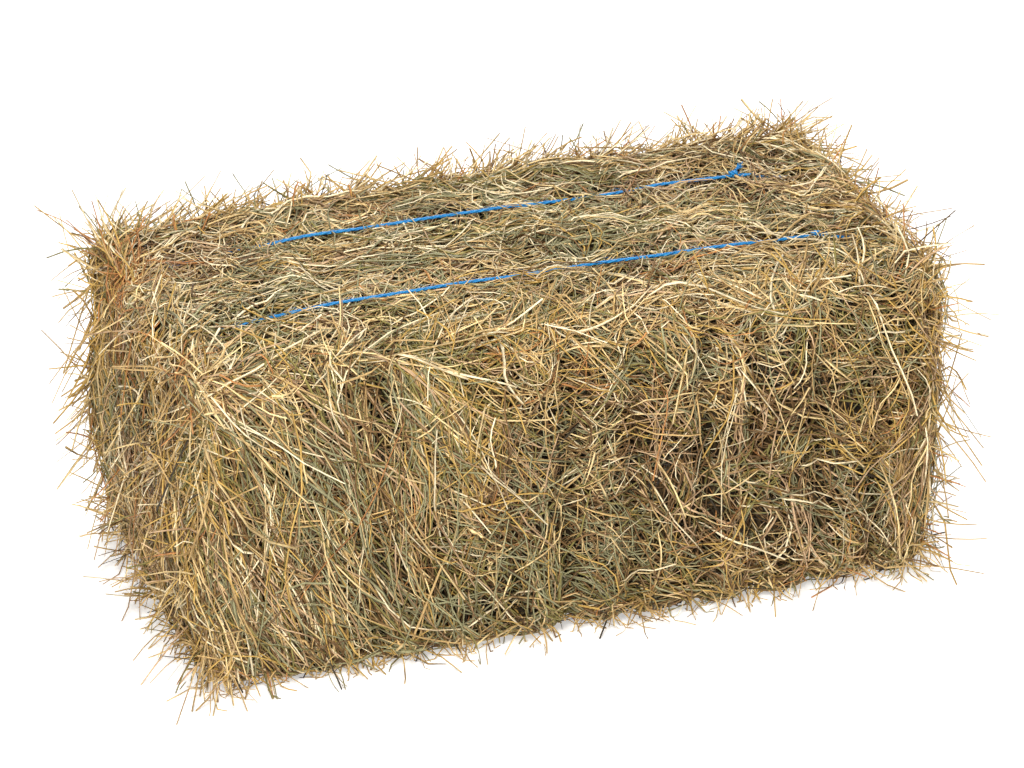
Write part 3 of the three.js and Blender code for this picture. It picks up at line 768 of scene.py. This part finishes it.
def standing_stems():
    """Stems that stand out past the outline, some with one or two short side twigs."""
    shares = np.asarray(BLUNT6)
    lo, hi = np.array(cad_lo) - OVER, np.array(cad_hi) + OVER
    lo[2] = 0.0012
    C, width, kinds, owner = [], [], [], []
    for root, tip in STRAYS:
        root, tip = np.array(root) / 1000, np.array(tip) / 1000
        p, n = skin(root[None])
        root = form(p, n, np.array([-0.002]), 0.0)[0]
        d = tip - np.array(p[0])
        for copy in range(3):
            e = d if copy == 0 else d * rng.uniform(0.45, 0.9) + rng.normal(0, 0.25 * np.linalg.norm(d), 3)
            r = root if copy == 0 else root + rng.normal(0, 0.006, 3)
            r = np.clip(r, lo + 0.001, hi - 0.001)
            room = np.where(e > 0, hi - r, r - lo) / np.maximum(np.abs(e), 1e-6)
            e = e * min(1.0, float(room.min()))
            bend = np.cross(e, rng.normal(0, 1, 3)) * 0.12
            back = 0.35
            c = r - e * back + np.outer(shares * (1 + back), e) + np.outer(np.sin(np.pi * shares), bend)
            C.append(np.clip(c, lo, hi))
            width.append(rng.uniform(0.0023, 0.0031) if copy == 0 else rng.uniform(0.0015, 0.0023))
            kind = rng.choice([1, 2, 3, 5, 7], p=(0.25, 0.3, 0.25, 0.12, 0.08))
            kinds.append(kind)
            owner.append(p[0, 0])
            if copy < 2:
                for side in range(rng.integers(0, 3)):
                    at = r + e * rng.uniform(0.55, 0.9)
                    twig = e / max(np.linalg.norm(e), 1e-6) * rng.uniform(0.005, 0.010) + rng.normal(0, 0.004, 3)
                    C.append(np.clip(at + np.outer(shares, twig), lo, hi))
                    width.append(rng.uniform(0.0011, 0.0017))
                    kinds.append(kind)
                    owner.append(p[0, 0])
    C = np.array(C)
    N = np.repeat(unit(rng.normal(0, 1, (len(C), 1, 3))), len(shares), 1)
    finish("standing", C, N, np.array(width), (0.6, 1.0), np.array(kinds), flake_of(np.array(owner)), shares)


laid_straws()
standing_stems()


# ------------------------------------------------------------------ the pressed mat under the stems, its dark colour painted shade
AROUND = 120


def ring_shape():
    """Points round the block's YZ section, evenly spaced, as directions to be put on the skin."""
    hy, hz = HY, HZ
    total = 4 * (hy + hz)
    out = []
    for k in range(AROUND):
        t = k / AROUND * total
        if t < 2 * hy:
            out.append((-hy + t, -hz))
        elif t < 2 * hy + 2 * hz:
            out.append((hy, -hz + t - 2 * hy))
        elif t < 4 * hy + 2 * hz:
            out.append((hy - (t - 2 * hy - 2 * hz), hz))
        else:
            out.append((-hy, hz - (t - 4 * hy - 2 * hz)))
    return np.array(out)


def mat(i):
    yz = ring_shape()
    x0, x1 = EDGES[i], EDGES[i + 1]
    first, last = i == 0, i == COUNT - 1
    stations = []                                    # (x, share of the section)
    if first:
        stations += [(-HX, f) for f in (0.08, 0.24, 0.4, 0.56, 0.7, 0.82, 0.91, 0.97)]
        stations += [(x, 1.0) for x in np.linspace(-HX, x1, 9)[0:]]
    elif last:
        stations += [(x, 1.0) for x in np.linspace(x0, HX, 9)]
        stations += [(HX, f) for f in (0.97, 0.91, 0.82, 0.7, 0.56, 0.4, 0.24, 0.08)]
    else:
        stations += [(x, 1.0) for x in np.linspace(x0, x1, 9)]
    rings = []
    for x, f in stations:
        q = np.stack([np.full(AROUND, x), yz[:, 0] * f, yz[:, 1] * f + HC], 1)
        if abs(x) < HX - 1e-6:
            p, n = skin(q)
            p[:, 0] = x
        else:
            p, n = skin(q + np.array([math.copysign(1e-4, x), 0, 0]))
        depth = -0.0155 + 0.0035 * noise(p, 0.011, 71) + 0.002 * noise(p, 0.005, 72)
        clear = np.min([np.abs(p[:, 1] - y) for y in TWINES.values()], axis=0)
        depth = depth + 0.0125 * smooth(-n[:, 2], 0.6, 0.95) * smooth(clear, 0.003, 0.012)      # it sits on the ground
        p = form(p, n, depth, 0.6)
        rings.append(p)
    R = np.array(rings)
    m = len(R)
    verts = R.reshape(-1, 3)
    faces, uvs = [], []
    vv = np.linspace(STEM_TOP + 0.02, 0.98, m)
    for j in range(m - 1):
        for k in range(AROUND):
            k2 = (k + 1) % AROUND
            a, b, c, d = j * AROUND + k, j * AROUND + k2, (j + 1) * AROUND + k2, (j + 1) * AROUND + k
            ua, ub = 0.01 + 0.98 * k / AROUND, 0.01 + 0.98 * (k + 1) / AROUND
            faces += [[a, c, b], [a, d, c]]
            uvs += [(ua, vv[j]), (ub, vv[j + 1]), (ub, vv[j]), (ua, vv[j]), (ua, vv[j + 1]), (ub, vv[j + 1])]
    caps = []
    for j, flip in ((0, False), (m - 1, True)):
        centre = R[j].mean(0)
        verts = np.vstack([verts, centre])
        c = len(verts) - 1
        for k in range(AROUND):
            k2 = (k + 1) % AROUND
            a, b = j * AROUND + k, j * AROUND + k2
            faces.append([c, b, a] if flip else [c, a, b])
            ua, ub = 0.01 + 0.98 * k / AROUND, 0.01 + 0.98 * (k + 1) / AROUND
            ve = vv[j]
            vc = ve - 0.012 if j == 0 else ve + 0.012
            uvs += [((ua + ub) / 2, vc), (ub, ve), (ua, ve)] if flip else [((ua + ub) / 2, vc), (ua, ve), (ub, ve)]
    bins[i].add(verts, np.array(faces)[:, [0, 2, 1]] if False else np.array(faces), np.array(uvs), 1)


for i in range(COUNT):
    mat(i)


# ------------------------------------------------------------------ materials
def nodes_of(name):
    m = bpy.data.materials.new(name)
    m.use_nodes = True
    nt = m.node_tree
    nt.nodes.clear()
    out = nt.nodes.new("ShaderNodeOutputMaterial")
    bs = nt.nodes.new("ShaderNodeBsdfPrincipled")
    nt.links.new(bs.outputs["BSDF"], out.inputs["Surface"])
    return m, nt, bs


def node(nt, kind, **values):
    n = nt.nodes.new(kind)
    for k, v in values.items():
        if k.startswith("i_"):
            n.inputs[int(k[2:]) if k[2:].isdigit() else k[2:].replace("_", " ")].default_value = v
        else:
            setattr(n, k, v)
    return n


def maths(nt, op, a, b=None, clamp=False):
    n = nt.nodes.new("ShaderNodeMath")
    n.operation = op
    n.use_clamp = clamp
    for k, x in enumerate((a, b)):
        if x is None:
            continue
        if isinstance(x, (int, float)):
            n.inputs[k].default_value = x
        else:
            nt.links.new(x, n.inputs[k])
    return n.outputs[0]


def vector(nt, x, y, z=0.0):
    n = nt.nodes.new("ShaderNodeCombineXYZ")
    for k, s in enumerate((x, y, z)):
        if isinstance(s, (int, float)):
            n.inputs[k].default_value = s
        else:
            nt.links.new(s, n.inputs[k])
    return n.outputs[0]


def mix_colour(nt, blend, factor, a, b):
    n = nt.nodes.new("ShaderNodeMix")
    n.data_type = "RGBA"
    n.blend_type = blend
    n.clamp_factor = True
    for k, x in ((0, factor), (6, a), (7, b)):
        if isinstance(x, (int, float)):
            n.inputs[k].default_value = x
        elif isinstance(x, tuple):
            n.inputs[k].default_value = (*x, 1) if len(x) == 3 else x
        else:
            nt.links.new(x, n.inputs[k])
    return n.outputs[2]


def ramp(nt, factor, stops, interpolation="LINEAR"):
    n = nt.nodes.new("ShaderNodeValToRGB")
    n.color_ramp.interpolation = interpolation
    els = n.color_ramp.elements
    while len(els) < len(stops):
        els.new(0.5)
    for e, (at, colour) in zip(els, stops):
        e.position = at
        e.color = (*colour, 1)
    nt.links.new(factor, n.inputs[0])
    return n.outputs[0]


def srgb(r, g, b):
    return tuple(((c / 255) / 12.92) if c / 255 <= 0.04045 else ((c / 255 + 0.055) / 1.055) ** 2.4 for c in (r, g, b))


STEM_COLOUR = {
    "cream": srgb(247, 232, 197), "straw": srgb(231, 205, 152), "tan": srgb(206, 173, 117), "gold": srgb(204, 168, 92),
    "pink": srgb(206, 173, 136), "rust": srgb(188, 132, 78), "sage": srgb(160, 157, 120), "olive": srgb(142, 132, 74),
    # the dark kind is painted shade, for stems that lie deep among the others
    "brown": srgb(128, 98, 60), "dark": srgb(56, 46, 28),
}


def stem_material():
    m, nt, bs = nodes_of("hay_stems")
    uvn = node(nt, "ShaderNodeUVMap", uv_map="OFBake")
    sep = nt.nodes.new("ShaderNodeSeparateXYZ")
    nt.links.new(uvn.outputs[0], sep.inputs[0])
    u, v = sep.outputs[0], sep.outputs[1]
    rowf = maths(nt, "MULTIPLY", v, ROWS / STEM_TOP)
    row = maths(nt, "FLOOR", rowf)
    across = maths(nt, "FRACT", rowf)
    at = maths(nt, "DIVIDE", maths(nt, "ADD", row, 0.5), float(ROWS))
    stops = [(KINDS[k][0] / ROWS, STEM_COLOUR[k]) for k in KIND_NAMES]
    base = ramp(nt, at, stops, "CONSTANT")
    # every row has its own strength and tint
    own = node(nt, "ShaderNodeTexWhiteNoise", noise_dimensions="1D")
    nt.links.new(row, own.inputs["W"])
    strength = maths(nt, "ADD", maths(nt, "MULTIPLY", own.outputs["Value"], 0.42), 0.74)
    # bleached, browned and spotted stretches along the stem
    along = node(nt, "ShaderNodeTexNoise", noise_dimensions="2D", i_Scale=1.0, i_Detail=3.0, i_Roughness=0.6)
    nt.links.new(vector(nt, maths(nt, "MULTIPLY", u, 9.0), maths(nt, "MULTIPLY", row, 3.17)), along.inputs["Vector"])
    tone = ramp(nt, along.outputs["Fac"], [(0.30, (0.50, 0.43, 0.34)), (0.44, (0.86, 0.83, 0.76)), (0.56, (1.06, 1.05, 1.0)), (0.72, (1.22, 1.22, 1.2))])
    colour = mix_colour(nt, "MULTIPLY", 0.85, base, tone)
    spots = node(nt, "ShaderNodeTexNoise", noise_dimensions="2D", i_Scale=1.0, i_Detail=2.0, i_Roughness=0.7)
    nt.links.new(vector(nt, maths(nt, "MULTIPLY", u, 42.0), maths(nt, "MULTIPLY", rowf, 1.7)), spots.inputs["Vector"])
    spotted = ramp(nt, spots.outputs["Fac"], [(0.28, (0.55, 0.44, 0.32)), (0.40, (1, 1, 1)), (1.0, (1, 1, 1))])
    colour = mix_colour(nt, "MULTIPLY", 0.6, colour, spotted)
    # fine ribs that run along the stem
    ribs = node(nt, "ShaderNodeTexNoise", noise_dimensions="2D", i_Scale=1.0, i_Detail=2.0, i_Roughness=0.5)
    nt.links.new(vector(nt, maths(nt, "MULTIPLY", u, 6.0), maths(nt, "MULTIPLY", rowf, 5.0)), ribs.inputs["Vector"])
    ribbed = ramp(nt, ribs.outputs["Fac"], [(0.3, (0.80, 0.79, 0.77)), (0.7, (1.14, 1.13, 1.1))])
    colour = mix_colour(nt, "MULTIPLY", 0.7, colour, ribbed)
    gain = nt.nodes.new("ShaderNodeVectorMath")
    gain.operation = "SCALE"
    nt.links.new(colour, gain.inputs[0])
    nt.links.new(strength, gain.inputs["Scale"])
    nt.links.new(gain.outputs[0], bs.inputs["Base Color"])
    rough = maths(nt, "ADD", maths(nt, "MULTIPLY", along.outputs["Fac"], 0.35), 0.40, True)
    nt.links.new(rough, bs.inputs["Roughness"])
    bs.inputs["Specular IOR Level"].default_value = 0.42
    bump = node(nt, "ShaderNodeBump", i_Strength=0.35, i_Distance=0.0002)
    nt.links.new(ribs.outputs["Fac"], bump.inputs["Height"])
    nt.links.new(bump.outputs[0], bs.inputs["Normal"])
    return m


def mat_material():
    m, nt, bs = nodes_of("hay_mat_painted_shade")
    uvn = node(nt, "ShaderNodeUVMap", uv_map="OFBake")
    sep = nt.nodes.new("ShaderNodeSeparateXYZ")
    nt.links.new(uvn.outputs[0], sep.inputs[0])
    u, v = sep.outputs[0], sep.outputs[1]
    warp = node(nt, "ShaderNodeTexNoise", noise_dimensions="2D", i_Scale=1.0, i_Detail=2.0)
    nt.links.new(vector(nt, maths(nt, "MULTIPLY", u, 22.0), maths(nt, "MULTIPLY", v, 9.0)), warp.inputs["Vector"])
    bent = maths(nt, "ADD", maths(nt, "MULTIPLY", v, 46.0), maths(nt, "MULTIPLY", warp.outputs["Fac"], 9.0))
    streak = node(nt, "ShaderNodeTexNoise", noise_dimensions="2D", i_Scale=1.0, i_Detail=4.0, i_Roughness=0.62)
    nt.links.new(vector(nt, maths(nt, "MULTIPLY", u, 60.0), bent), streak.inputs["Vector"])
    # painted shade: the hay under the stems is given the black-browns of its shadow, streaked like stems
    colour = ramp(nt, streak.outputs["Fac"], [
        (0.30, srgb(22, 16, 9)), (0.44, srgb(42, 32, 19)), (0.52, srgb(66, 52, 31)), (0.60, srgb(96, 78, 48)), (0.70, srgb(128, 106, 68))])
    patch = ramp(nt, warp.outputs["Fac"], [(0.35, (0.62, 0.66, 0.55)), (0.5, (0.85, 0.82, 0.75)), (0.65, (1.0, 0.9, 0.78))])
    colour = mix_colour(nt, "MULTIPLY", 0.8, colour, patch)
    nt.links.new(colour, bs.inputs["Base Color"])
    rough = maths(nt, "ADD", maths(nt, "MULTIPLY", streak.outputs["Fac"], 0.3), 0.62, True)
    nt.links.new(rough, bs.inputs["Roughness"])
    bs.inputs["Specular IOR Level"].default_value = 0.2
    bump = node(nt, "ShaderNodeBump", i_Strength=0.8, i_Distance=0.002)
    nt.links.new(streak.outputs["Fac"], bump.inputs["Height"])
    nt.links.new(bump.outputs[0], bs.inputs["Normal"])
    return m


def twine_material():
    m, nt, bs = nodes_of("blue_twine")
    uvn = node(nt, "ShaderNodeUVMap", uv_map="OFBake")
    sep = nt.nodes.new("ShaderNodeSeparateXYZ")
    nt.links.new(uvn.outputs[0], sep.inputs[0])
    u, v = sep.outputs[0], sep.outputs[1]
    fibre = node(nt, "ShaderNodeTexNoise", noise_dimensions="2D", i_Scale=1.0, i_Detail=4.0, i_Roughness=0.6)
    nt.links.new(vector(nt, maths(nt, "MULTIPLY", u, 60.0), maths(nt, "MULTIPLY", v, 150.0)), fibre.inputs["Vector"])
    film = ramp(nt, fibre.outputs["Fac"], [
        (0.28, srgb(4, 78, 140)), (0.42, srgb(8, 112, 180)), (0.56, srgb(14, 140, 208)), (0.72, srgb(70, 180, 230)), (0.9, srgb(180, 222, 244))])
    worn = node(nt, "ShaderNodeTexNoise", noise_dimensions="2D", i_Scale=1.0, i_Detail=2.0)
    nt.links.new(vector(nt, maths(nt, "MULTIPLY", u, 30.0), maths(nt, "MULTIPLY", v, 6.0)), worn.inputs["Vector"])
    dusty = ramp(nt, worn.outputs["Fac"], [(0.35, (0.78, 0.80, 0.84)), (0.6, (1.0, 1.0, 1.0)), (0.8, (1.10, 1.08, 1.05))])
    colour = mix_colour(nt, "MULTIPLY", 0.8, film, dusty)
    nt.links.new(colour, bs.inputs["Base Color"])
    rough = maths(nt, "ADD", maths(nt, "MULTIPLY", fibre.outputs["Fac"], 0.3), 0.26, True)
    nt.links.new(rough, bs.inputs["Roughness"])
    bump = node(nt, "ShaderNodeBump", i_Strength=0.5, i_Distance=0.0003)
    nt.links.new(fibre.outputs["Fac"], bump.inputs["Height"])
    nt.links.new(bump.outputs[0], bs.inputs["Normal"])
    return m


STEMS, MAT, BLUE = stem_material(), mat_material(), twine_material()

for i, name in enumerate(FLAKES):
    o = bins[i].build("hay_" + name, [STEMS, MAT])
    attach(o, "root")
    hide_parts(name)


# ------------------------------------------------------------------ the twines
def twine_route(y):
    """The loop in the XZ plane, as the solid has it, clockwise from +X on top, with the run along it at each point."""
    hx, zb, r = LENGTH / 2 - 0.013, 0.005, 0.062
    top = HEIGHT - 0.0045

    def tz(x):
        e = abs(x) / (LENGTH / 2)
        dip = max(0.0, (e - 0.62) / 0.26)
        closed_over = 0.0045 * (1 - float(twine_shows(np.array(x), y)))     # the hay has closed over it here
        return top - 0.006 * e * e - 0.011 * min(1.0, dip * dip) - closed_over

    pts = [(x, tz(x)) for x in np.linspace(hx - r, -(hx - r), 60)]
    zt = tz(hx - r)
    for k in range(1, 13):
        a = math.pi / 2 * k / 12
        pts.append((-(hx - r) - r * math.sin(a), zt - r + r * math.cos(a)))
    pts.append((-hx - 0.0015, (zt + zb) / 2))
    for k in range(13):
        a = math.pi / 2 * k / 12
        pts.append((-(hx - r) - r * math.cos(a), zb + r - r * math.sin(a)))
    for x in np.linspace(-(hx - r), hx - r, 12)[1:-1]:
        pts.append((x, zb))
    for k in range(13):
        a = math.pi / 2 * k / 12
        pts.append((hx - r + r * math.sin(a), zb + r - r * math.cos(a)))
    pts.append((hx + 0.0015, (zt + zb) / 2))
    for k in range(12):
        a = math.pi / 2 * k / 12
        pts.append((hx - r + r * math.cos(a), zt - r + r * math.sin(a)))
    pts = np.array(pts)
    closed = np.vstack([pts, pts[:1]])
    step = np.r_[0, np.cumsum(np.linalg.norm(np.diff(closed, axis=0), axis=1))]
    return closed, step


def strand(bin_, C, N, r_a, r_b, v0, v1, u_len, sides=5, closed=False):
    """One strand as a closed tube through the points C (points, 3)."""
    m = len(C)
    T = np.empty_like(C)
    T[1:-1] = C[2:] - C[:-2]
    T[0], T[-1] = C[1] - C[0], C[-1] - C[-2]
    if closed:
        T[0] = T[-1] = C[1] - C[-2]
    T = unit(T)
    S = unit(np.cross(T, N))
    U = np.cross(S, T)
    ang = np.arange(sides) * 2 * np.pi / sides
    ra = np.broadcast_to(r_a, (m,))[:, None, None]
    rb = np.broadcast_to(r_b, (m,))[:, None, None]
    R = C[:, None] + S[:, None] * np.cos(ang)[None, :, None] * ra + U[:, None] * np.sin(ang)[None, :, None] * rb
    length = np.r_[0, np.cumsum(np.linalg.norm(np.diff(C, axis=0), axis=1))]
    uu = (length / u_len) % 1.0
    faces, uvs = [], []
    rings = m - 1 if closed else m
    if closed:
        R = R[:-1]
    verts = R.reshape(-1, 3)
    spans = rings if closed else rings - 1
    vv = v0 + (v1 - v0) * (1 - np.abs(np.linspace(-1, 1, sides + 1)))
    base = length / u_len
    for j in range(spans):
        j2 = (j + 1) % rings
        ua = base[j] % 1.0
        ub = ua + (base[j + 1] - base[j])
        if ub > 1:
            ua, ub = ua - (ub - 1), 1.0
        for k in range(sides):
            k2 = (k + 1) % sides
            a, b, c, d = j * sides + k, j * sides + k2, j2 * sides + k2, j2 * sides + k
            faces += [[a, b, c], [a, c, d]]
            uvs += [(ua, vv[k]), (ua, vv[k + 1]), (ub, vv[k + 1]), (ua, vv[k]), (ub, vv[k + 1]), (ub, vv[k])]
    if not closed:
        for j, flip in ((0, False), (rings - 1, True)):
            tip = C[j] + (T[j] if flip else -T[j]) * float(np.broadcast_to(r_a, (m,))[j]) * 0.6
            verts = np.vstack([verts, tip])
            c = len(verts) - 1
            ue = base[j] % 1.0
            for k in range(sides):
                k2 = (k + 1) % sides
                a, b = j * sides + k, j * sides + k2
                faces.append([c, a, b] if flip else [c, b, a])
                tri = [(ue, (vv[k] + vv[k + 1]) / 2), (max(ue - 0.004, 0), vv[k]), (max(ue - 0.004, 0), vv[k + 1])]
                uvs += tri if flip else [tri[0], tri[2], tri[1]]
    bin_.add(verts, np.array(faces), np.array(uvs), 0)


def make_twine(name, y, knot_x, seed):
    rg = np.random.default_rng(seed)
    closed, run = twine_route(y)
    total = run[-1]
    b = Bin()
    steps = 460
    s = np.linspace(0, total, steps + 1)
    x, z = np.interp(s, run, closed[:, 0]), np.interp(s, run, closed[:, 1])
    # the pull of the twine isn't quite straight: it wanders a little over the hay
    sway = 0.0016 * np.sin(s / total * 2 * np.pi * 3 + seed) + 0.0009 * np.sin(s / total * 2 * np.pi * 11 + 2 * seed)
    C0 = np.stack([x, y + sway, z + 0.0004 * np.sin(s / total * 2 * np.pi * 17)], 1)
    C0[:, 0] += drawn_in(x * 1.03, z) - np.sign(x) * 0.006 * smooth(np.abs(x), 0.43, 0.444)
    C0[-1] = C0[0]
    N0 = unit(np.stack([x * 0.2, np.zeros_like(x), z - HC], 1) * np.array([1, 1, 1.0]))
    side = np.tile([0.0, 1.0, 0.0], (len(s), 1))
    T = unit(np.gradient(C0, axis=0))
    N0 = unit(np.cross(side, T))
    outward = (N0 * (C0 - np.array([0, y, HC]))).sum(1) > 0
    N0[~outward] *= -1
    turns = round(total / 0.034)
    for k in range(3):
        ph = 2 * np.pi * (turns * s / total + k / 3)
        C = C0 + side * (np.cos(ph) * 0.00115)[:, None] + N0 * (np.sin(ph) * 0.0008)[:, None]
        C[-1] = C[0]
        strand(b, C, N0, 0.00142, 0.00108, 0.03 + 0.3 * k, 0.30 + 0.3 * k, 0.5, 5, closed=True)
    # fine fibres that have split off the film
    for _ in range(34):
        t0 = rg.uniform(0.02, 0.36) * total
        if abs(np.interp(t0, s, x)) > 0.36:
            continue
        n = 7
        ln = rg.uniform(0.006, 0.022)
        tt = np.linspace(0, 1, n)
        c = np.stack([np.interp(t0 + tt * ln, s, C0[:, q]) for q in range(3)], 1)
        away = rg.uniform(-0.003, 0.003), rg.uniform(0.0008, 0.005)
        c = c + np.outer(tt ** 1.5, [0, away[0], 0]) + np.outer(np.sin(tt * rg.uniform(1.6, 3.0)), [0, 0, away[1]]) + [0, 0, 0.0012]
        strand(b, c, np.tile([0, 0.3, 1.0], (n, 1)), 0.00016, 0.0001, 0.93, 0.97, 0.5, 3)
    # the knot: the two ends pass round each other and are drawn tight
    kz = np.interp(knot_x, closed[:60, 0][::-1], closed[:60, 1][::-1]) + 0.0022
    t = np.linspace(0, 1, 40)
    for k, (ph, lift) in enumerate(((0.0, 0.0), (np.pi, 0.0006))):
        a = t * 2 * np.pi * 1.35 + ph
        c = np.stack([knot_x + (t - 0.5) * 0.010 + 0.0012 * np.cos(2 * a), y + 0.0031 * np.cos(a), kz + 0.0027 * np.sin(a) + lift], 1)
        strand(b, c, np.tile([1.0, 0.2, 0.1], (40, 1)), 0.0016, 0.0013, 0.05 + 0.3 * k, 0.28 + 0.3 * k, 0.5, 7)
    tails = ([[(0, 1.5, 1), (5, 4.5, 3.4), (10, 8, 5.2), (16, 11.5, 7)], [(0, -1, 1.2), (4, 2, 3.2), (9, 5, 4.8), (14, 7, 6.2)]]
             if y > 0 else
             [[(0, 1.0, 0.6), (4, 1.8, 1.0), (7, 2.0, 0.4), (10, 1.8, -0.8)], [(0, -1.0, 0.6), (4, -1.6, 0.8), (8, -1.8, 0), (12, -1.4, -1.4)]])
    for k, tail in enumerate(tails):
        pts = np.array(tail) / 1000 + [knot_x, y, kz]
        tt = np.linspace(0, 1, 14)
        c = np.stack([np.interp(tt, np.linspace(0, 1, 4), pts[:, q]) for q in range(3)], 1)
        c[1:-1] = (c[:-2] + c[1:-1] * 2 + c[2:]) / 4
        for f in range(5):
            fan = np.outer(tt ** 2, rg.normal(0, 0.0016, 3))
            twist = np.stack([0 * tt, np.cos(tt * 9 + f * 1.26), np.sin(tt * 9 + f * 1.26)], 1) * (0.0009 * (1 - 0.3 * tt))[:, None]
            strand(b, c + fan + twist, np.tile([0.2, 0.3, 1.0], (14, 1)), 0.00075 * (1 - 0.4 * tt), 0.00045, 0.05 + 0.18 * f, 0.16 + 0.18 * f, 0.5, 4)
    o = b.build("cord_" + name, [BLUE])
    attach(o, "root")
    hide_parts(name)
    return o


make_twine("twine_front", TWINES["twine_front"], 0.334, 3)
make_twine("twine_rear", TWINES["twine_rear"], 0.307, 8)

# ------------------------------------------------------------------ floor, light, camera
floor_me = bpy.data.meshes.new("floor")
g = 12.0
floor_me.from_pydata([(-g, -g, 0), (g, -g, 0), (g, g, 0), (-g, g, 0)], [], [(0, 1, 2, 3)])
floor = bpy.data.objects.new("floor", floor_me)
bpy.context.scene.collection.objects.link(floor)
fm, fnt, fbs = nodes_of("pale_floor")
fn = node(fnt, "ShaderNodeTexNoise", i_Scale=3.0, i_Detail=3.0)
fnt.links.new(ramp(fnt, fn.outputs["Fac"], [(0.3, (0.94, 0.94, 0.94)), (0.7, (0.95, 0.95, 0.95))]), fbs.inputs["Base Color"])
fbs.inputs["Roughness"].default_value = 0.9
fbs.inputs["Specular IOR Level"].default_value = 0.1
fbs.inputs["Emission Color"].default_value = (1, 1, 1, 1)
fbs.inputs["Emission Strength"].default_value = 0.48
floor_me.materials.append(fm)

world = bpy.data.worlds.new("studio")
bpy.context.scene.world = world
world.use_nodes = True
wn = world.node_tree
# soft and even overhead, with a pale backdrop low down all round
where = wn.nodes.new("ShaderNodeTexCoord")
height_up = wn.nodes.new("ShaderNodeSeparateXYZ")
wn.links.new(where.outputs["Generated"], height_up.inputs[0])
wn.links.new(ramp(wn, height_up.outputs[2], [(0.0, (0.86, 0.86, 0.86)), (0.16, (0.80, 0.80, 0.80)), (0.30, (0.08, 0.08, 0.08))]),
             wn.nodes["Background"].inputs["Color"])
wn.nodes["Background"].inputs["Strength"].default_value = 1.0


def area(name, place, aim, size, power, colour=(1, 1, 1)):
    d = bpy.data.lights.new(name, "AREA")
    d.shape = "RECTANGLE"
    d.size, d.size_y = size
    d.energy = power
    d.color = colour
    o = bpy.data.objects.new(name, d)
    bpy.context.scene.collection.objects.link(o)
    o.location = place
    o.rotation_mode = "QUATERNION"
    o.rotation_quaternion = (Vector(aim) - Vector(place)).to_track_quat("-Z", "Y")
    return o


area("key", (-1.0, -2.2, 2.2), (0.05, 0, 0.25), (0.7, 0.7), 94.0, (1.0, 0.98, 0.95))
area("fill", (2.6, -1.8, 1.2), (0, 0, 0.2), (1.8, 1.4), 10.0, (0.98, 0.99, 1.0))
area("back", (0.9, 2.8, 1.7), (0.1, 0.1, 0.3), (2.0, 1.2), 34.0)
area("overhead", (0.3, 0.6, 2.8), (0, 0, 0.3), (2.2, 1.6), 52.0)

CAM_AZ, CAM_EL, CAM_DIST, CAM_F, AIM_X, AIM_Y = -0.342757, 0.461876, 4.902335, 4250.698904, -0.000066, 0.003129
back = Vector((math.sin(CAM_AZ) * math.cos(CAM_EL), -math.cos(CAM_AZ) * math.cos(CAM_EL), math.sin(CAM_EL)))
target = Vector((0, 0, 0.203))
fwd = -back
right = fwd.cross(Vector((0, 0, 1))).normalized()
upv = right.cross(fwd)
fwd = (fwd + right * AIM_X + upv * AIM_Y).normalized()
right = fwd.cross(Vector((0, 0, 1))).normalized()
upv = right.cross(fwd)
cam_data = bpy.data.cameras.new("camera")
cam = bpy.data.objects.new("camera", cam_data)
bpy.context.scene.collection.objects.link(cam)
cam.matrix_world = Matrix((
    (right.x, upv.x, -fwd.x, target.x + back.x * CAM_DIST),
    (right.y, upv.y, -fwd.y, target.y + back.y * CAM_DIST),
    (right.z, upv.z, -fwd.z, target.z + back.z * CAM_DIST),
    (0, 0, 0, 1)))
cam_data.sensor_width = 36.0
cam_data.lens = 36.0 * CAM_F / 1024
cam_data.clip_start, cam_data.clip_end = 0.1, 100
bpy.context.scene.camera = cam

bpy.context.scene.view_settings.view_transform = "Standard"
bpy.context.scene.view_settings.look = "None"
bpy.context.scene.view_settings.exposure = 0.0

print("faces by layer", tally)
